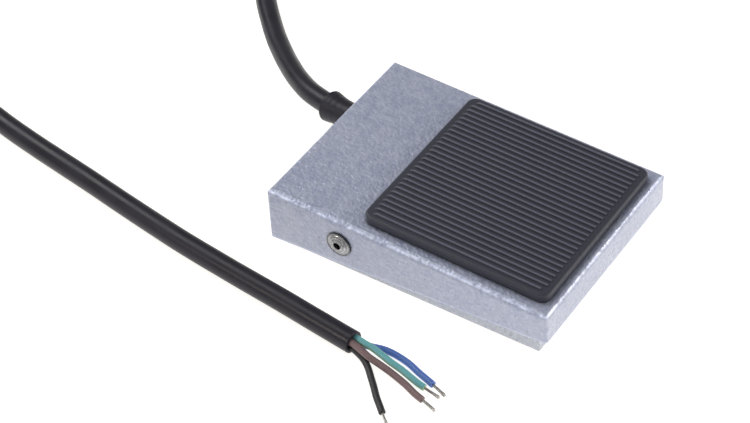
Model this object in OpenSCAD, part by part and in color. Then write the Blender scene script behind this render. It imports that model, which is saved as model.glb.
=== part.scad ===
// Foot switch. A folded steel treadle with a ribbed rubber pad tilts on two rivets over a folded steel
// base. The base holds a return spring, a small lever switch and the end of a four-core cable, and the
// cable's far end is stripped back to four bare-ended cores.
// Millimetres, +Z up, +Y towards the cable, -Y towards the toe end of the pad, X along the rivets.
// The origin is in the middle of the footprint, on the surface that the rubber feet stand on.

/* [Cover] */
// Length of the cover, front to back
cover_length = 110; // [100:1:130]
// Width of the cover
cover_width = 80; // [74:1:100]
// Height of the cover's top edge above the base's underside, at the back
cover_back_height = 23.9; // [23:0.1:28]
// Height of the cover's top edge above the base's underside, at the front
cover_front_height = 19.6; // [18.6:0.1:22]
// Height of the skirt's lower edge above the base's underside, at the back
skirt_back_rise = 2.2; // [1.6:0.1:4]
// Height of the skirt's lower edge above the base's underside, at the front
skirt_front_rise = 7.8; // [6:0.1:9]
// Thickness of the steel sheet of the cover and the base
sheet = 1.2; // [1:0.1:1.4]
// Outside radius of the cover's folds
fold_radius = 2; // [1.6:0.1:3]
// Outside radius of the cover's upright corners
corner_radius = 1.2; // [0.8:0.1:2]

/* [Pad] */
// Width of the rubber pad
pad_width = 70.6; // [50:0.2:72]
// Length of the rubber pad, front to back
pad_length = 71.2; // [50:0.2:80]
// Distance from the cover's front face to the pad
pad_front_margin = 3; // [2:0.1:8]
// Thickness of the pad between its ribs
pad_thickness = 3.6; // [2.5:0.1:5]
// Radius of the pad's corners, seen from above
pad_corner_radius = 3.5; // [3:0.5:10]
// Radius of the pad's top edge
pad_edge_radius = 0.9; // [0.8:0.1:2]
// Distance between the middles of two ribs
rib_pitch = 2.42; // [2.2:0.02:4]
// Width of a rib
rib_width = 1.2; // [1.1:0.1:1.9]
// Distance from the pad's side to the nearest rib's middle, at least
rib_side_border = 2.6; // [2.2:0.1:6]
// Distance from the pad's front or back face to the ribs' ends
rib_end_border = 2.4; // [2:0.1:6]

/* [Base] */
// Gap between the base's side and the cover's skirt
side_gap = 0.3; // [0.2:0.05:0.5]
// Gap between the base's front wall and the cover's front skirt
front_gap = 2.2; // [1.6:0.1:3]
// Gap between the base's rear wall and the cover's rear skirt
rear_gap = 1.5; // [1.2:0.1:2]
// Outside radius of the base's folds
base_fold_radius = 1.6; // [1.4:0.1:2.4]
// Height of the base's side walls above its underside
side_wall_height = 9.5; // [8:0.1:11]
// Height that the rubber feet stand proud of the base
foot_proud = 1.5; // [1.3:0.1:3]
// Diameter of a rubber foot
foot_diameter = 10; // [8:0.5:12]
// Distance from the base's side to a foot's middle
foot_side_inset = 8.5; // [8:0.5:12]
// Distance from the base's front or rear face to a foot's middle
foot_end_inset = 9; // [8:0.5:12]

/* [Hinge] */
// Distance from the cover's rear face to the rivets
pivot_back_distance = 29.4; // [26:0.1:34]
// Depth of the rivets below the cover's top
pivot_depth = 9.75; // [9.5:0.05:11]
// Diameter of a rivet's shank
rivet_diameter = 4.8; // [4:0.1:5]
// Diameter of a rivet's flange
rivet_head_diameter = 9.5; // [8:0.1:10]
// Running clearance round a rivet or pin, on the radius
running_clearance = 0.05; // [0.03:0.01:0.08]
// Angle that the pedal tilts when it is pressed
press_angle = 3; // [2:0.1:3.2]

/* [Spring] */
// Wire diameter of the return spring
spring_wire = 1.1; // [0.9:0.1:1.2]
// Diameter of the spring at the middle of its wire
spring_diameter = 9.8; // [8:0.1:12]
// Turns of the spring between its closed ends
spring_active_turns = 5; // [4:1:5]
// Distance from the cover's front face to the spring's middle
spring_front_distance = 30; // [26:1:34]

/* [Switch] */
// Length of the switch's case
case_length = 19.8; // [18:0.1:21]
// Width of the switch's case
case_width = 6.4; // [6:0.1:7]
// Height of the switch's case
case_height = 9.6; // [9:0.1:9.8]
// Distance of the switch from the middle plane
switch_side_offset = 12; // [10:0.5:16]
// Distance from the cover's front face to the switch's middle
switch_front_distance = 53; // [50:0.5:56]
// Thickness of the switch's lever
lever_thickness = 0.4; // [0.3:0.05:0.5]
// Length of the striker under the cover
striker_height = 1.9; // [1:0.1:2.4]

/* [Cable] */
// Outside diameter of the cable
cord_diameter = 8; // [7:0.1:8.4]
// Outside diameter of a core
core_diameter = 2.4; // [2:0.1:2.4]
// Diameter of the strain relief at its ends
boot_diameter = 11.2; // [10.8:0.1:12.4]
// Length of the strain relief outside the base
boot_length = 18.8; // [18:0.1:22]
// Distance of the cable's outlet from the cover's right-hand side
gland_side_distance = 22; // [18:0.5:26]
// Height of the cable's outlet above the base's underside
gland_height = 11; // [10.6:0.1:11.4]

/* [Hidden] */

// Colours
grey_paint = [0.61, 0.63, 0.7];
black_rubber = [0.23, 0.23, 0.26];
bright_steel = [0.72, 0.71, 0.69];
dark_hole = [0.2, 0.2, 0.2];
cable_black = [0.16, 0.16, 0.17];
case_black = [0.12, 0.12, 0.13];
tin = [0.8, 0.79, 0.76];
core_colour_brown = [0.42, 0.3, 0.29];
core_colour_black = [0.13, 0.13, 0.14];
core_colour_blue = [0.28, 0.4, 0.72];
core_colour_earth = [0.35, 0.62, 0.6];

// Facets of round surfaces, and of the small round ends of the ribs
$fn = 48;
rib_facets = 16;

// Overrun of every cut past the surface that it opens
cut = 1;

// Places of the cover. The top slopes down to the front.
half_length = cover_length / 2;
half_width = cover_width / 2;
slope = atan((cover_back_height - cover_front_height) / cover_length);
function top_z(y) = foot_proud + (cover_back_height + cover_front_height) / 2 + y * tan(slope);
function roof_z(y) = top_z(y) - sheet / cos(slope);
function skirt_z(y) = foot_proud + (skirt_back_rise + skirt_front_rise) / 2
    + y * (skirt_back_rise - skirt_front_rise) / cover_length;

// Places of the base
base_half_width = half_width - sheet - side_gap;
base_front = -half_length + sheet + front_gap;
base_back = half_length - sheet - rear_gap;
floor_top = foot_proud + sheet;
side_top = foot_proud + side_wall_height;
stop_gap = 0.3;
rear_top = roof_z(base_back - sheet) - stop_gap;
pivot_y = half_length - pivot_back_distance;
pivot_z = top_z(pivot_y) - pivot_depth;
pivot_to_roof = roof_z(pivot_y) - pivot_z;
function pressed_roof_z(y) = pivot_z + pivot_to_roof * cos(press_angle)
    + (y - pivot_y + pivot_to_roof * sin(press_angle)) * tan(slope + press_angle);
front_top = pressed_roof_z(base_front) - stop_gap;
ear_radius = 6;

// Feet: a flange under the base, a neck in its hole and a barbed plug above it
foot_neck_radius = 2;
foot_plug_radius = 2.6;
foot_plug_height = 2;
foot_edge = 0.5;
foot_hole_clearance = 0.05;
foot_x = base_half_width - foot_side_inset;
foot_ys = [base_front + foot_end_inset, base_back - foot_end_inset];

// Rivets: blind rivets with a flange, a low dome and a bore that still holds the broken mandrel
rivet_radius = rivet_diameter / 2;
rivet_gap = 0.1;
rivet_flange = 0.5;
rivet_dome_radius = 3.9;
rivet_dome_height = 1.1;
rivet_bore_radius = 1.4;
rivet_bulb_radius = 3.4;
rivet_bulb_length = 4;
rivet_bulb_edge = 1.2;
mandrel_clearance = 0.05;
mandrel_recess = 1.6;
mandrel_head_radius = 2.2;
mandrel_head_length = 1.6;
rivet_seat_x = half_width + rivet_gap;
bulb_end_x = base_half_width - sheet - rivet_bulb_length;

// Spring and its two seats
spring_y = -half_length + spring_front_distance;
spring_clearance = 0.4;
spigot_radius = spring_diameter / 2 - spring_wire / 2 - spring_clearance;
seat_radius = spring_diameter / 2 + spring_wire / 2;
seat_thickness = 1;
post_height = 4.4;
cover_spigot_length = 3;
post_stem_radius = 2;
post_foot_radius = 3;
post_foot_height = 0.6;
spring_end_gap = 0.45;
spring_seat_gap = 0.05;
spring_bottom = floor_top + seat_thickness + spring_seat_gap;
spring_top = roof_z(spring_y) - seat_thickness - seat_radius * tan(slope) - spring_seat_gap;
spring_end_pitch = spring_wire + spring_end_gap;
spring_pitch = (spring_top - spring_bottom - spring_wire - 2 * spring_end_pitch) / spring_active_turns;
spring_turns = spring_active_turns + 2;
spring_rings = 12;
spring_sides = 6;

// Insulating sleeves on the wires, which lie on the floor under the switch
sleeve_wall = 0.4;
sleeve_clearance = 0.1;
sleeve_length = 6;
sleeve_gap = 0.2;
sleeve_radius = core_diameter / 2 + sleeve_clearance + sleeve_wall;
wire_z = floor_top + sleeve_radius + sleeve_clearance;

// Switch: terminals under the case, plunger and lever above it
switch_x = -switch_side_offset;
switch_y = -half_length + switch_front_distance;
terminal_width = 3.2;
terminal_thickness = 0.5;
terminal_spacing = 7.3;
terminal_floor_gap = 0.6;
case_bottom = wire_z + sleeve_radius + sleeve_gap;
terminal_length = case_bottom - floor_top - terminal_floor_gap;
case_top = case_bottom + case_height;
case_edge = 0.5;
case_hole_spacing = 9.5;
case_hole_height = 2.9;
case_screw_radius = 1;
case_hole_clearance = 0.15;
hinge_rear_inset = 2.3;
hinge_lift = 1.1;
hinge_y = switch_y + case_length / 2 - hinge_rear_inset;
hinge_z = case_top + hinge_lift;
lever_width = 4;
lever_length = 17;
knuckle_radius = 0.9;
pin_radius = 0.45;
lug_radius = 1.3;
lug_gap = 0.1;
striker_arm = 14;
striker_y = hinge_y - striker_arm;
striker_gap = 0.3;
striker_radius = 2.5;
striker_tip_radius = 4;
lever_rise = roof_z(striker_y) - striker_height - striker_gap - lever_thickness / 2 - hinge_z;
lever_rest_angle = atan(lever_rise / striker_arm);
plunger_arm = 5;
plunger_radius = 1;
plunger_gap = 0.1;
plunger_length = 3;
plunger_well = 1;
plunger_y = hinge_y - plunger_arm;
lever_under_z = hinge_z + plunger_arm * tan(lever_rest_angle) - lever_thickness / 2 / cos(lever_rest_angle);
plunger_top = lever_under_z - (plunger_radius + plunger_gap) / cos(lever_rest_angle) + plunger_radius;

// Bracket: an upright against the case and a foot riveted to the base
bracket_sheet = 1.2;
bracket_length = 18;
bracket_height = 12;
bracket_foot = 8;
bracket_bend = 1;
bracket_x = switch_x - case_width / 2;
bracket_rivet_radius = 1.5;
bracket_rivet_spacing = 10;
bracket_rivet_x = bracket_x - bracket_sheet - bracket_foot / 2;
bracket_rivet_head_radius = 2.6;
bracket_rivet_head_height = 1;
bracket_rivet_tail_radius = 2.4;
bracket_rivet_tail_height = 0.6;
screw_head_radius = 1.9;
screw_head_height = 1.4;
screw_slot_width = 0.5;
screw_slot_depth = 0.6;
screw_end = 0.5;
nut_radius = 2.3;
nut_thickness = 1.6;

// Cable inside the base
gland_x = half_width - gland_side_distance;
gland_z = foot_proud + gland_height;
gland_hole_radius = 5;
gland_flange_radius = 6.4;
gland_flange_thickness = 2;
gland_nose_radius = 5;
gland_nose_length = 2;
notch_clearance = 1.1;
notch_radius = boot_diameter / 2 + notch_clearance;
sheath_length = 11;
sheath_start = base_back - sheet - gland_flange_thickness - gland_nose_length;
sheath_end = sheath_start - sheath_length;
tie_width = 2.6;
tie_thickness = 1;
tie_clearance = 0.05;
tie_head = 4;
tie_y = sheath_end + 4;
core_spacing = core_diameter + 0.1;
core_rings = 10;
core_sides = 8;
wire_x = switch_x + terminal_width / 2;

// Earth tag, on the base near the right-hand rivet
earth_x = base_half_width - 10.5;
earth_y = pivot_y - 13.6;
tag_radius = 4;
tag_thickness = 0.8;
tag_neck_width = 3;
tag_neck_length = 2;
tag_barrel_length = 5;
tag_barrel_wall = 0.5;
tag_barrel_radius = core_diameter / 2 + sleeve_clearance + tag_barrel_wall;
tag_barrel_y = earth_y + tag_radius + tag_neck_length;
earth_screw_radius = 2;
earth_head_radius = 3.8;
earth_head_height = 2.4;
earth_slot_width = 0.9;
earth_slot_depth = 1.1;
earth_screw_tail = 0.6;
washer_radius = 3.6;
washer_thickness = 0.8;

// Strain relief outside the base: its radius as shares of the boot's, at shares of its length. It is
// bent towards the side that the cable leaves to, and a little down.
boot_station_shares = [0, 0.05, 0.1, 0.2, 0.33, 0.46, 0.6, 0.73, 0.84, 0.9, 0.93, 1];
boot_radius_shares = [1.02, 1.02, 1, 0.955, 0.915, 0.9, 0.905, 0.935, 0.98, 1, 0.985, 0.76];
boot_bend_angle = 18;
boot_bend_tilt = 24.8;
boot_straight = 2;
boot_sides = 24;
boot_bend_radius = (boot_length - boot_straight) / boot_bend_angle * 180 / PI;
function boot_turn(s) = max(0, s - boot_straight) / boot_bend_radius * 180 / PI;
function boot_aside(s) = boot_bend_radius * (1 - cos(boot_turn(s)));
function boot_ahead(s) = min(s, boot_straight) + boot_bend_radius * sin(boot_turn(s));
function boot_point(s) = [
    gland_x + boot_aside(s) * cos(boot_bend_tilt),
    base_back + boot_ahead(s),
    gland_z - boot_aside(s) * sin(boot_bend_tilt)
];
function boot_direction(s) = [
    sin(boot_turn(s)) * cos(boot_bend_tilt),
    cos(boot_turn(s)),
    -sin(boot_turn(s)) * sin(boot_bend_tilt)
];

// Free cable. Its points are counted from where it leaves the base: to the right, to the back, and the
// height of the cable's underside above the floor.
rest_gap = 0.05;
function lifted(points, from, diameter) = [for (p = points)
    [from[0] + p[0], from[1] + p[1], p[2] + diameter / 2 + rest_gap]];
outlet = [gland_x, base_back];
lead_points = [
    [6.6, 30, 5.6], [9.6, 35.3, 4.6], [13, 40.6, 3.6], [16.9, 45.8, 2.6], [21, 51, 1.7],
    [25.2, 56, 0.9], [29.5, 61, 0.4], [33.8, 65.6, 0.1], [38, 69.9, 0], [46.7, 78.3, 0],
    [57.5, 87.1, 0.1], [68.5, 95.9, 0.3], [79.5, 104.6, 0.5], [90.4, 113.3, 0.8]
];
free_end_points = [
    [51, 216.1, 7.9], [36, 214.6, 4.4], [21.2, 211.3, 1.3], [7, 206.3, 0.1], [-7, 199.4, 0],
    [-20.7, 190.2, 0], [-33.2, 178.6, 0], [-43.4, 164.8, 0], [-51, 149.9, 0], [-56.3, 135, 0],
    [-60.2, 119.8, 0], [-63.2, 104.7, 0], [-65.8, 89.5, 0], [-68.3, 74.3, 0], [-71.1, 58.7, 0],
    [-73.8, 43.1, 0], [-76.3, 27.6, 0], [-78.3, 12.1, 0], [-80.1, -3.4, 0], [-81.8, -18.9, 0],
    [-83.7, -34.4, 0], [-85.6, -50.4, 0]
];

// Coil of the spare cable: it spirals in on the floor, climbs a layer while the spiral reverses and
// spirals out again.
coil_centre = outlet + [73, 165.3];
coil_inner_radius = 28.4;
coil_turn_gap = 0.6;
coil_pitch = cord_diameter + coil_turn_gap;
coil_entry_angle = -48;
coil_turns_in = 2.7;
coil_turns_out = 2.683;
coil_rings = 24;
coil_sides = 6;
coil_climb = 0.5;
coil_round = 0.05;
coil_tie_angles = [0, 180];
coil_tie_width = 3;
coil_tie_thickness = 0.8;
coil_tie_corner = 2.4;
coil_tie_gap = 0.1;
coil_tie_slack = 0.5;
coil_tie_head_width = 4.6;
coil_tie_head_height = 5;
coil_tie_head_depth = 2.6;
coil_underside = rest_gap + coil_tie_thickness + coil_tie_gap;
function coil_ramp(t) = let (u = min(1, max(0, t))) u * u * (3 - 2 * u);
function coil_away(u) = sqrt(u * u + coil_round * coil_round) - coil_round;
function coil_radius(u) = coil_inner_radius + coil_pitch * coil_away(u);
function coil_angle(u) = coil_entry_angle + 360 * (u + coil_turns_in);
function coil_point(u) = [
    coil_centre[0] + coil_radius(u) * cos(coil_angle(u)),
    coil_centre[1] + coil_radius(u) * sin(coil_angle(u)),
    cord_diameter / 2 + coil_underside + coil_pitch * coil_ramp(u / coil_climb + 1 / 2)
];
coil_steps = floor((coil_turns_in + coil_turns_out) * coil_rings);
coil_run = [for (i = [0 : coil_steps])
    coil_point(-coil_turns_in + (coil_turns_in + coil_turns_out) * i / coil_steps)];
function unit(v) = v / norm(v);
coil_in_direction = unit(coil_run[1] - coil_run[0]);
coil_out_direction = unit(coil_run[coil_steps] - coil_run[coil_steps - 1]);
coil_start = coil_run[0] - coil_in_direction * cord_diameter;
coil_end = coil_run[coil_steps] + coil_out_direction * cord_diameter;
coil_path = concat([coil_start], coil_run, [coil_end]);

// Radii of all the turns that pass a place round the coil
function coil_radii(angle) =
    let (first = (angle - coil_entry_angle) / 360 - coil_turns_in)
    [for (n = [0 : floor(coil_turns_out - first)]) coil_radius(first + n)];

// Least distance between turns of the coil, from middle to middle, with neighbours along it left out
function coil_gaps(near) = [for (i = [0 : coil_steps], j = [i + near : coil_steps])
    norm(coil_run[i] - coil_run[j])];
coil_gap = min(coil_gaps(floor(coil_rings / 2))) - cord_diameter;

lead_path = concat([boot_point(boot_length)], lifted(lead_points, outlet, cord_diameter), [coil_start]);
free_end_path = concat([coil_end], lifted(free_end_points, outlet, cord_diameter));
function path_length(p) = len(p) < 2 ? 0
    : norm(p[1] - p[0]) + path_length([for (i = [1 : len(p) - 1]) p[i]]);

// Stripped tails, each from its seat in the cable's end face. Their points are counted from that face,
// with the height of the core's underside above the floor.
cut_end = free_end_path[len(free_end_path) - 1];
cut_direction = unit(cut_end - free_end_path[len(free_end_path) - 2]);
cut_side = unit(cross([0, 0, 1], cut_direction));
function tail_path(side, up, points) = concat(
    [cut_end + cut_side * side * core_spacing / 2 + [0, 0, up * core_spacing / 2]],
    lifted(points, cut_end, core_diameter));
earth_tail_points = [
    [0.7, -3.8, 3.95], [0.5, -7.3, 3.65], [-0.1, -10.9, 3.15], [-0.9, -15.3, 2.55],
    [-1.3, -19.4, 1.85], [-2, -23.1, 1.25], [-2.7, -26.8, 0.65], [-2.9, -29.3, 0.2]
];
blue_tail_points = [
    [2.5, -4.5, 1.25], [4, -9.3, 0.85], [4.3, -12.4, 0.55], [4.1, -16, 0.25],
    [3.4, -19.7, 0.05], [1.9, -24, 0], [0.7, -28, 0], [-0.2, -30.8, 0]
];
brown_tail_points = [
    [-1.9, -3.5, 3.65], [-2.8, -7.8, 2.75], [-3, -11.2, 2.05], [-3.4, -15.3, 1.35],
    [-3.9, -18.8, 0.75], [-5, -23.5, 0.25], [-6.5, -27.7, 0.05], [-7.5, -31.3, 0]
];
black_tail_points = [
    [-2.7, -5.3, 0.65], [-4.8, -8.5, 0.25], [-7.7, -11.6, 0.05], [-10.9, -14.9, 0],
    [-14.1, -18, 0], [-17.1, -21.4, 0], [-18.8, -23.3, 0]
];
strand_length = 6.8;
strand_diameter = 1;
strand_drop = 0.35;
strand_sides = 6;
earth_tail = tail_path(1, 1, earth_tail_points);
blue_tail = tail_path(1, -1, blue_tail_points);
brown_tail = tail_path(-1, 1, brown_tail_points);
black_tail = tail_path(-1, -1, black_tail_points);

echo(coil_least_gap = coil_gap);
echo(cord_length = path_length(lead_path) + path_length(coil_path) + path_length(free_end_path));

// Rings of a tube: each lies square to the path, with one corner straight down
function path_direction(p, i, first, last) =
    i == 0 ? (is_undef(first) ? unit(p[1] - p[0]) : first)
    : i == len(p) - 1 ? (is_undef(last) ? unit(p[i] - p[i - 1]) : last)
    : unit(unit(p[i + 1] - p[i]) + unit(p[i] - p[i - 1]));
function ring_at(centre, direction, radius, sides) =
    let (side = unit(cross(direction, [0, 0, 1])), up = cross(side, direction))
    [for (k = [0 : sides - 1])
        let (a = 270 + 360 * k / sides)
        centre + side * radius * cos(a) + up * radius * sin(a)];

module skin(rings) {
    sides = len(rings[0]);
    ends = len(rings) - 1;
    points = [for (r = rings) each r];
    walls = [for (i = [0 : ends - 1], k = [0 : sides - 1])
        let (a = i * sides + k, b = i * sides + (k + 1) % sides)
        each [[a, b + sides, a + sides], [a, b, b + sides]]];
    caps = [for (k = [1 : sides - 2])
        each [[0, k + 1, k], [ends * sides, ends * sides + k, ends * sides + k + 1]]];
    polyhedron(points = points, faces = concat(walls, caps));
}

module tube(path, diameter, sides, first = undef, last = undef) {
    skin([for (i = [0 : len(path) - 1])
        ring_at(path[i], path_direction(path, i, first, last), diameter / 2, sides)]);
}

// Outlines with round corners, made of a polygon and circles

// A block's side view: level bottom corners at low_front and low_back, the top parallel to the cover's
module side_view(inset, low_front, low_back) {
    radius = fold_radius - inset;
    edge = half_length - inset;
    centre_back = edge - radius;
    centre_front = -centre_back;
    up_back = top_z(centre_back) - (inset + radius) / cos(slope);
    up_front = top_z(centre_front) - (inset + radius) / cos(slope);
    lean = [-radius * sin(slope), radius * cos(slope)];
    polygon([
        [-edge, low_front], [edge, low_back], [edge, up_back], [centre_back, up_back] + lean,
        [centre_front, up_front] + lean, [-edge, up_front]
    ]);
    translate([centre_back, up_back]) circle(r = radius);
    translate([centre_front, up_front]) circle(r = radius);
}

// A block's end view, with its top at zero and round top corners
module end_view(inset, depth) {
    radius = fold_radius - inset;
    edge = half_width - inset;
    polygon([
        [-edge, -depth], [edge, -depth], [edge, -inset - radius], [edge - radius, -inset],
        [radius - edge, -inset], [-edge, -inset - radius]
    ]);
    for (side = [-1, 1]) translate([side * (edge - radius), -inset - radius]) circle(r = radius);
}

// A rectangle with four round corners
module round_rectangle(x0, x1, y0, y1, radius) {
    translate([x0 + radius, y0]) square([x1 - x0 - 2 * radius, y1 - y0]);
    translate([x0, y0 + radius]) square([x1 - x0, y1 - y0 - 2 * radius]);
    for (x = [x0 + radius, x1 - radius], y = [y0 + radius, y1 - radius])
        translate([x, y]) circle(r = radius);
}

// Lays a side view across the object, and an end view along the cover's slope
module across(width) {
    rotate([90, 0, 90]) linear_extrude(width, center = true) children();
}

module along_slope(length) {
    translate([0, 0, top_z(0)]) rotate([slope, 0, 0])
        rotate([90, 0, 0]) linear_extrude(length, center = true) children();
}

// Places things on the sloping top, with the top's middle at their origin
module on_top() {
    translate([0, 0, top_z(0)]) rotate([slope, 0, 0]) children();
}

// Repeats things at both rivets, with their axis along local Z, outwards, from the middle plane
module at_pivots() {
    for (side = [0, 1]) mirror([side, 0, 0])
        translate([0, pivot_y, pivot_z]) rotate([0, 90, 0]) children();
}

module cover_block(inset, low_front, low_back) {
    intersection() {
        across(cover_width + 2 * cut) side_view(inset, low_front, low_back);
        along_slope(cover_length + 2 * cover_back_height) end_view(inset, 2 * cover_back_height);
    }
}

module gland_notch() {
    translate([gland_x, half_length - sheet - cut, gland_z]) {
        rotate([-90, 0, 0]) cylinder(r = notch_radius, h = sheet + 2 * cut);
        translate([-notch_radius, 0, -gland_z]) cube([2 * notch_radius, sheet + 2 * cut, gland_z]);
    }
}

module pedal_cover() {
    color(grey_paint) difference() {
        intersection() {
            cover_block(0, skirt_z(-half_length), skirt_z(half_length));
            linear_extrude(2 * cover_back_height)
                round_rectangle(-half_width, half_width, -half_length, half_length, corner_radius);
        }
        cover_block(sheet, 0, 0);
        gland_notch();
        at_pivots() translate([0, 0, base_half_width])
            cylinder(r = rivet_radius + running_clearance, h = sheet + side_gap + cut);
    }
}

// Pad: a slab with round corners and a round top edge, carrying half-round ribs with round ends
pad_front = -half_length + pad_front_margin;
pad_back = pad_front + pad_length;
rib_count = floor((pad_width - 2 * rib_side_border) / rib_pitch) + 1;
rib_span = (rib_count - 1) * rib_pitch;

module pad_slab() {
    inner = pad_edge_radius;
    linear_extrude(pad_thickness - pad_edge_radius)
        round_rectangle(-pad_width / 2, pad_width / 2, pad_front, pad_back, pad_corner_radius);
    linear_extrude(pad_thickness) round_rectangle(
        -pad_width / 2 + inner, pad_width / 2 - inner, pad_front + inner, pad_back - inner,
        pad_corner_radius - inner);
    translate([0, 0, pad_thickness - pad_edge_radius]) pad_edge();
}

module pad_edge() {
    straight_x = pad_width - 2 * pad_corner_radius;
    straight_y = pad_length - 2 * pad_corner_radius;
    middle_y = (pad_front + pad_back) / 2;
    for (side = [-1, 1]) {
        translate([side * (pad_width / 2 - pad_edge_radius), middle_y, 0]) rotate([90, 0, 0])
            cylinder(r = pad_edge_radius, h = straight_y, center = true);
        translate([0, middle_y + side * (pad_length / 2 - pad_edge_radius), 0]) rotate([0, 90, 0])
            cylinder(r = pad_edge_radius, h = straight_x, center = true);
    }
    for (x = [-1, 1], y = [-1, 1])
        translate([x * straight_x / 2, middle_y + y * straight_y / 2, 0])
            rotate_extrude() translate([pad_corner_radius - pad_edge_radius, 0]) difference() {
                circle(r = pad_edge_radius);
                translate([-2 * pad_edge_radius, -pad_edge_radius])
                    square([2 * pad_edge_radius, 2 * pad_edge_radius]);
            }
}

module rib() {
    radius = rib_width / 2;
    length = pad_length - 2 * rib_end_border;
    translate([0, pad_front + rib_end_border, 0]) rotate([-90, 0, 0])
        rotate_extrude($fn = rib_facets) {
            translate([0, radius]) square([radius, length - 2 * radius]);
            for (y = [radius, length - radius]) translate([0, y]) intersection() {
                circle(r = radius, $fn = rib_facets);
                translate([0, -radius]) square([radius, 2 * radius]);
            }
        }
}

module tread_pad() {
    color(black_rubber) on_top() {
        pad_slab();
        for (i = [0 : rib_count - 1])
            translate([i * rib_pitch - rib_span / 2, 0, pad_thickness]) rib();
    }
}

module cover_striker() {
    color(bright_steel) translate([0, 0, -sheet]) on_top()
        translate([switch_x, striker_y / cos(slope), 0]) mirror([0, 0, 1]) intersection() {
            cylinder(r = striker_radius, h = striker_height);
            translate([0, 0, striker_height - striker_tip_radius]) sphere(r = striker_tip_radius);
        }
}

module cover_spring_seat() {
    color(bright_steel) translate([0, 0, -sheet]) on_top()
        translate([0, spring_y / cos(slope), 0]) mirror([0, 0, 1]) {
            cylinder(r = seat_radius, h = seat_thickness);
            cylinder(r = spigot_radius, h = seat_thickness + cover_spigot_length);
        }
}

// Outline of the base from the side: low walls, an ear round each rivet, a stop at the front and a
// rest at the back
module base_side_view() {
    round_rectangle(base_front, base_back, foot_proud, side_top, base_fold_radius);
    translate([base_front, foot_proud + base_fold_radius])
        square([sheet, front_top - foot_proud - base_fold_radius]);
    translate([base_back - sheet, foot_proud + base_fold_radius])
        square([sheet, rear_top - foot_proud - base_fold_radius]);
    translate([base_front, side_top - base_fold_radius])
        square([base_back - base_front, base_fold_radius]);
    translate([pivot_y, pivot_z]) circle(r = ear_radius);
    translate([pivot_y - ear_radius, side_top - sheet])
        square([2 * ear_radius, pivot_z - side_top + sheet]);
}

module base_hollow() {
    inner = base_fold_radius - sheet;
    intersection() {
        across(cover_width) round_rectangle(
            base_front + sheet, base_back - sheet, floor_top, 2 * rear_top, inner);
        rotate([90, 0, 0]) linear_extrude(2 * cover_length, center = true) round_rectangle(
            -base_half_width + sheet, base_half_width - sheet, floor_top, 2 * rear_top, inner);
    }
}

module base_pan() {
    color(grey_paint) difference() {
        intersection() {
            across(cover_width) base_side_view();
            rotate([90, 0, 0]) linear_extrude(2 * cover_length, center = true)
                round_rectangle(-base_half_width, base_half_width, foot_proud, rear_top, base_fold_radius);
        }
        base_hollow();
        at_pivots() translate([0, 0, base_half_width - sheet - cut])
            cylinder(r = rivet_radius, h = sheet + 2 * cut);
        translate([gland_x, base_back - sheet - cut, gland_z]) rotate([-90, 0, 0])
            cylinder(r = gland_hole_radius, h = sheet + 2 * cut);
        for (x = [-foot_x, foot_x], y = foot_ys) translate([x, y, foot_proud - cut])
            cylinder(r = foot_neck_radius + foot_hole_clearance, h = sheet + 2 * cut);
        translate([0, spring_y, foot_proud - cut]) cylinder(r = post_stem_radius, h = sheet + 2 * cut);
        at_bracket_rivets() translate([0, 0, foot_proud - cut])
            cylinder(r = bracket_rivet_radius, h = sheet + 2 * cut);
        translate([earth_x, earth_y, foot_proud - cut])
            cylinder(r = earth_screw_radius, h = sheet + 2 * cut);
    }
}

module rubber_feet() {
    color(black_rubber) for (x = [-foot_x, foot_x], y = foot_ys) translate([x, y, 0]) rotate_extrude() {
        polygon([
            [0, 0], [foot_diameter / 2 - foot_edge, 0], [foot_diameter / 2, foot_edge],
            [foot_diameter / 2, foot_proud], [foot_neck_radius, foot_proud],
            [foot_neck_radius, floor_top], [foot_plug_radius, floor_top],
            [foot_plug_radius, floor_top + foot_edge],
            [foot_neck_radius - foot_edge, floor_top + foot_plug_height], [0, floor_top + foot_plug_height]
        ]);
    }
}

// Half section of a blind rivet, with its axis upright and zero on the middle plane
module rivet_section() {
    dome_ball = (rivet_dome_radius * rivet_dome_radius + rivet_dome_height * rivet_dome_height)
        / 2 / rivet_dome_height;
    flange_top = rivet_seat_x + rivet_flange;
    difference() {
        union() {
            translate([0, rivet_seat_x]) square([rivet_head_diameter / 2, rivet_flange]);
            intersection() {
                translate([0, flange_top + rivet_dome_height - dome_ball]) circle(r = dome_ball);
                translate([0, rivet_seat_x]) square([rivet_dome_radius, rivet_flange + rivet_dome_height]);
            }
            translate([0, bulb_end_x]) square([rivet_radius, rivet_seat_x - bulb_end_x + rivet_flange / 2]);
            translate([0, bulb_end_x])
                square([rivet_bulb_radius - rivet_bulb_edge, rivet_bulb_length]);
            translate([0, bulb_end_x + rivet_bulb_edge])
                square([rivet_bulb_radius, rivet_bulb_length - 2 * rivet_bulb_edge]);
            for (y = [rivet_bulb_edge, rivet_bulb_length - rivet_bulb_edge])
                translate([rivet_bulb_radius - rivet_bulb_edge, bulb_end_x + y])
                    circle(r = rivet_bulb_edge);
        }
        translate([0, bulb_end_x - cut])
            square([rivet_bore_radius, flange_top + rivet_dome_height - bulb_end_x + 2 * cut]);
    }
}

module pivot_rivets() {
    color(bright_steel) at_pivots() rotate_extrude() rivet_section();
}

module rivet_mandrels() {
    shank_radius = rivet_bore_radius - mandrel_clearance;
    color(dark_hole) at_pivots() {
        translate([0, 0, bulb_end_x]) cylinder(
            r = shank_radius,
            h = rivet_seat_x + rivet_flange + rivet_dome_height - mandrel_recess - bulb_end_x);
        translate([0, 0, bulb_end_x - mandrel_head_length])
            cylinder(r1 = shank_radius, r2 = mandrel_head_radius, h = mandrel_head_length);
    }
}

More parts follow.
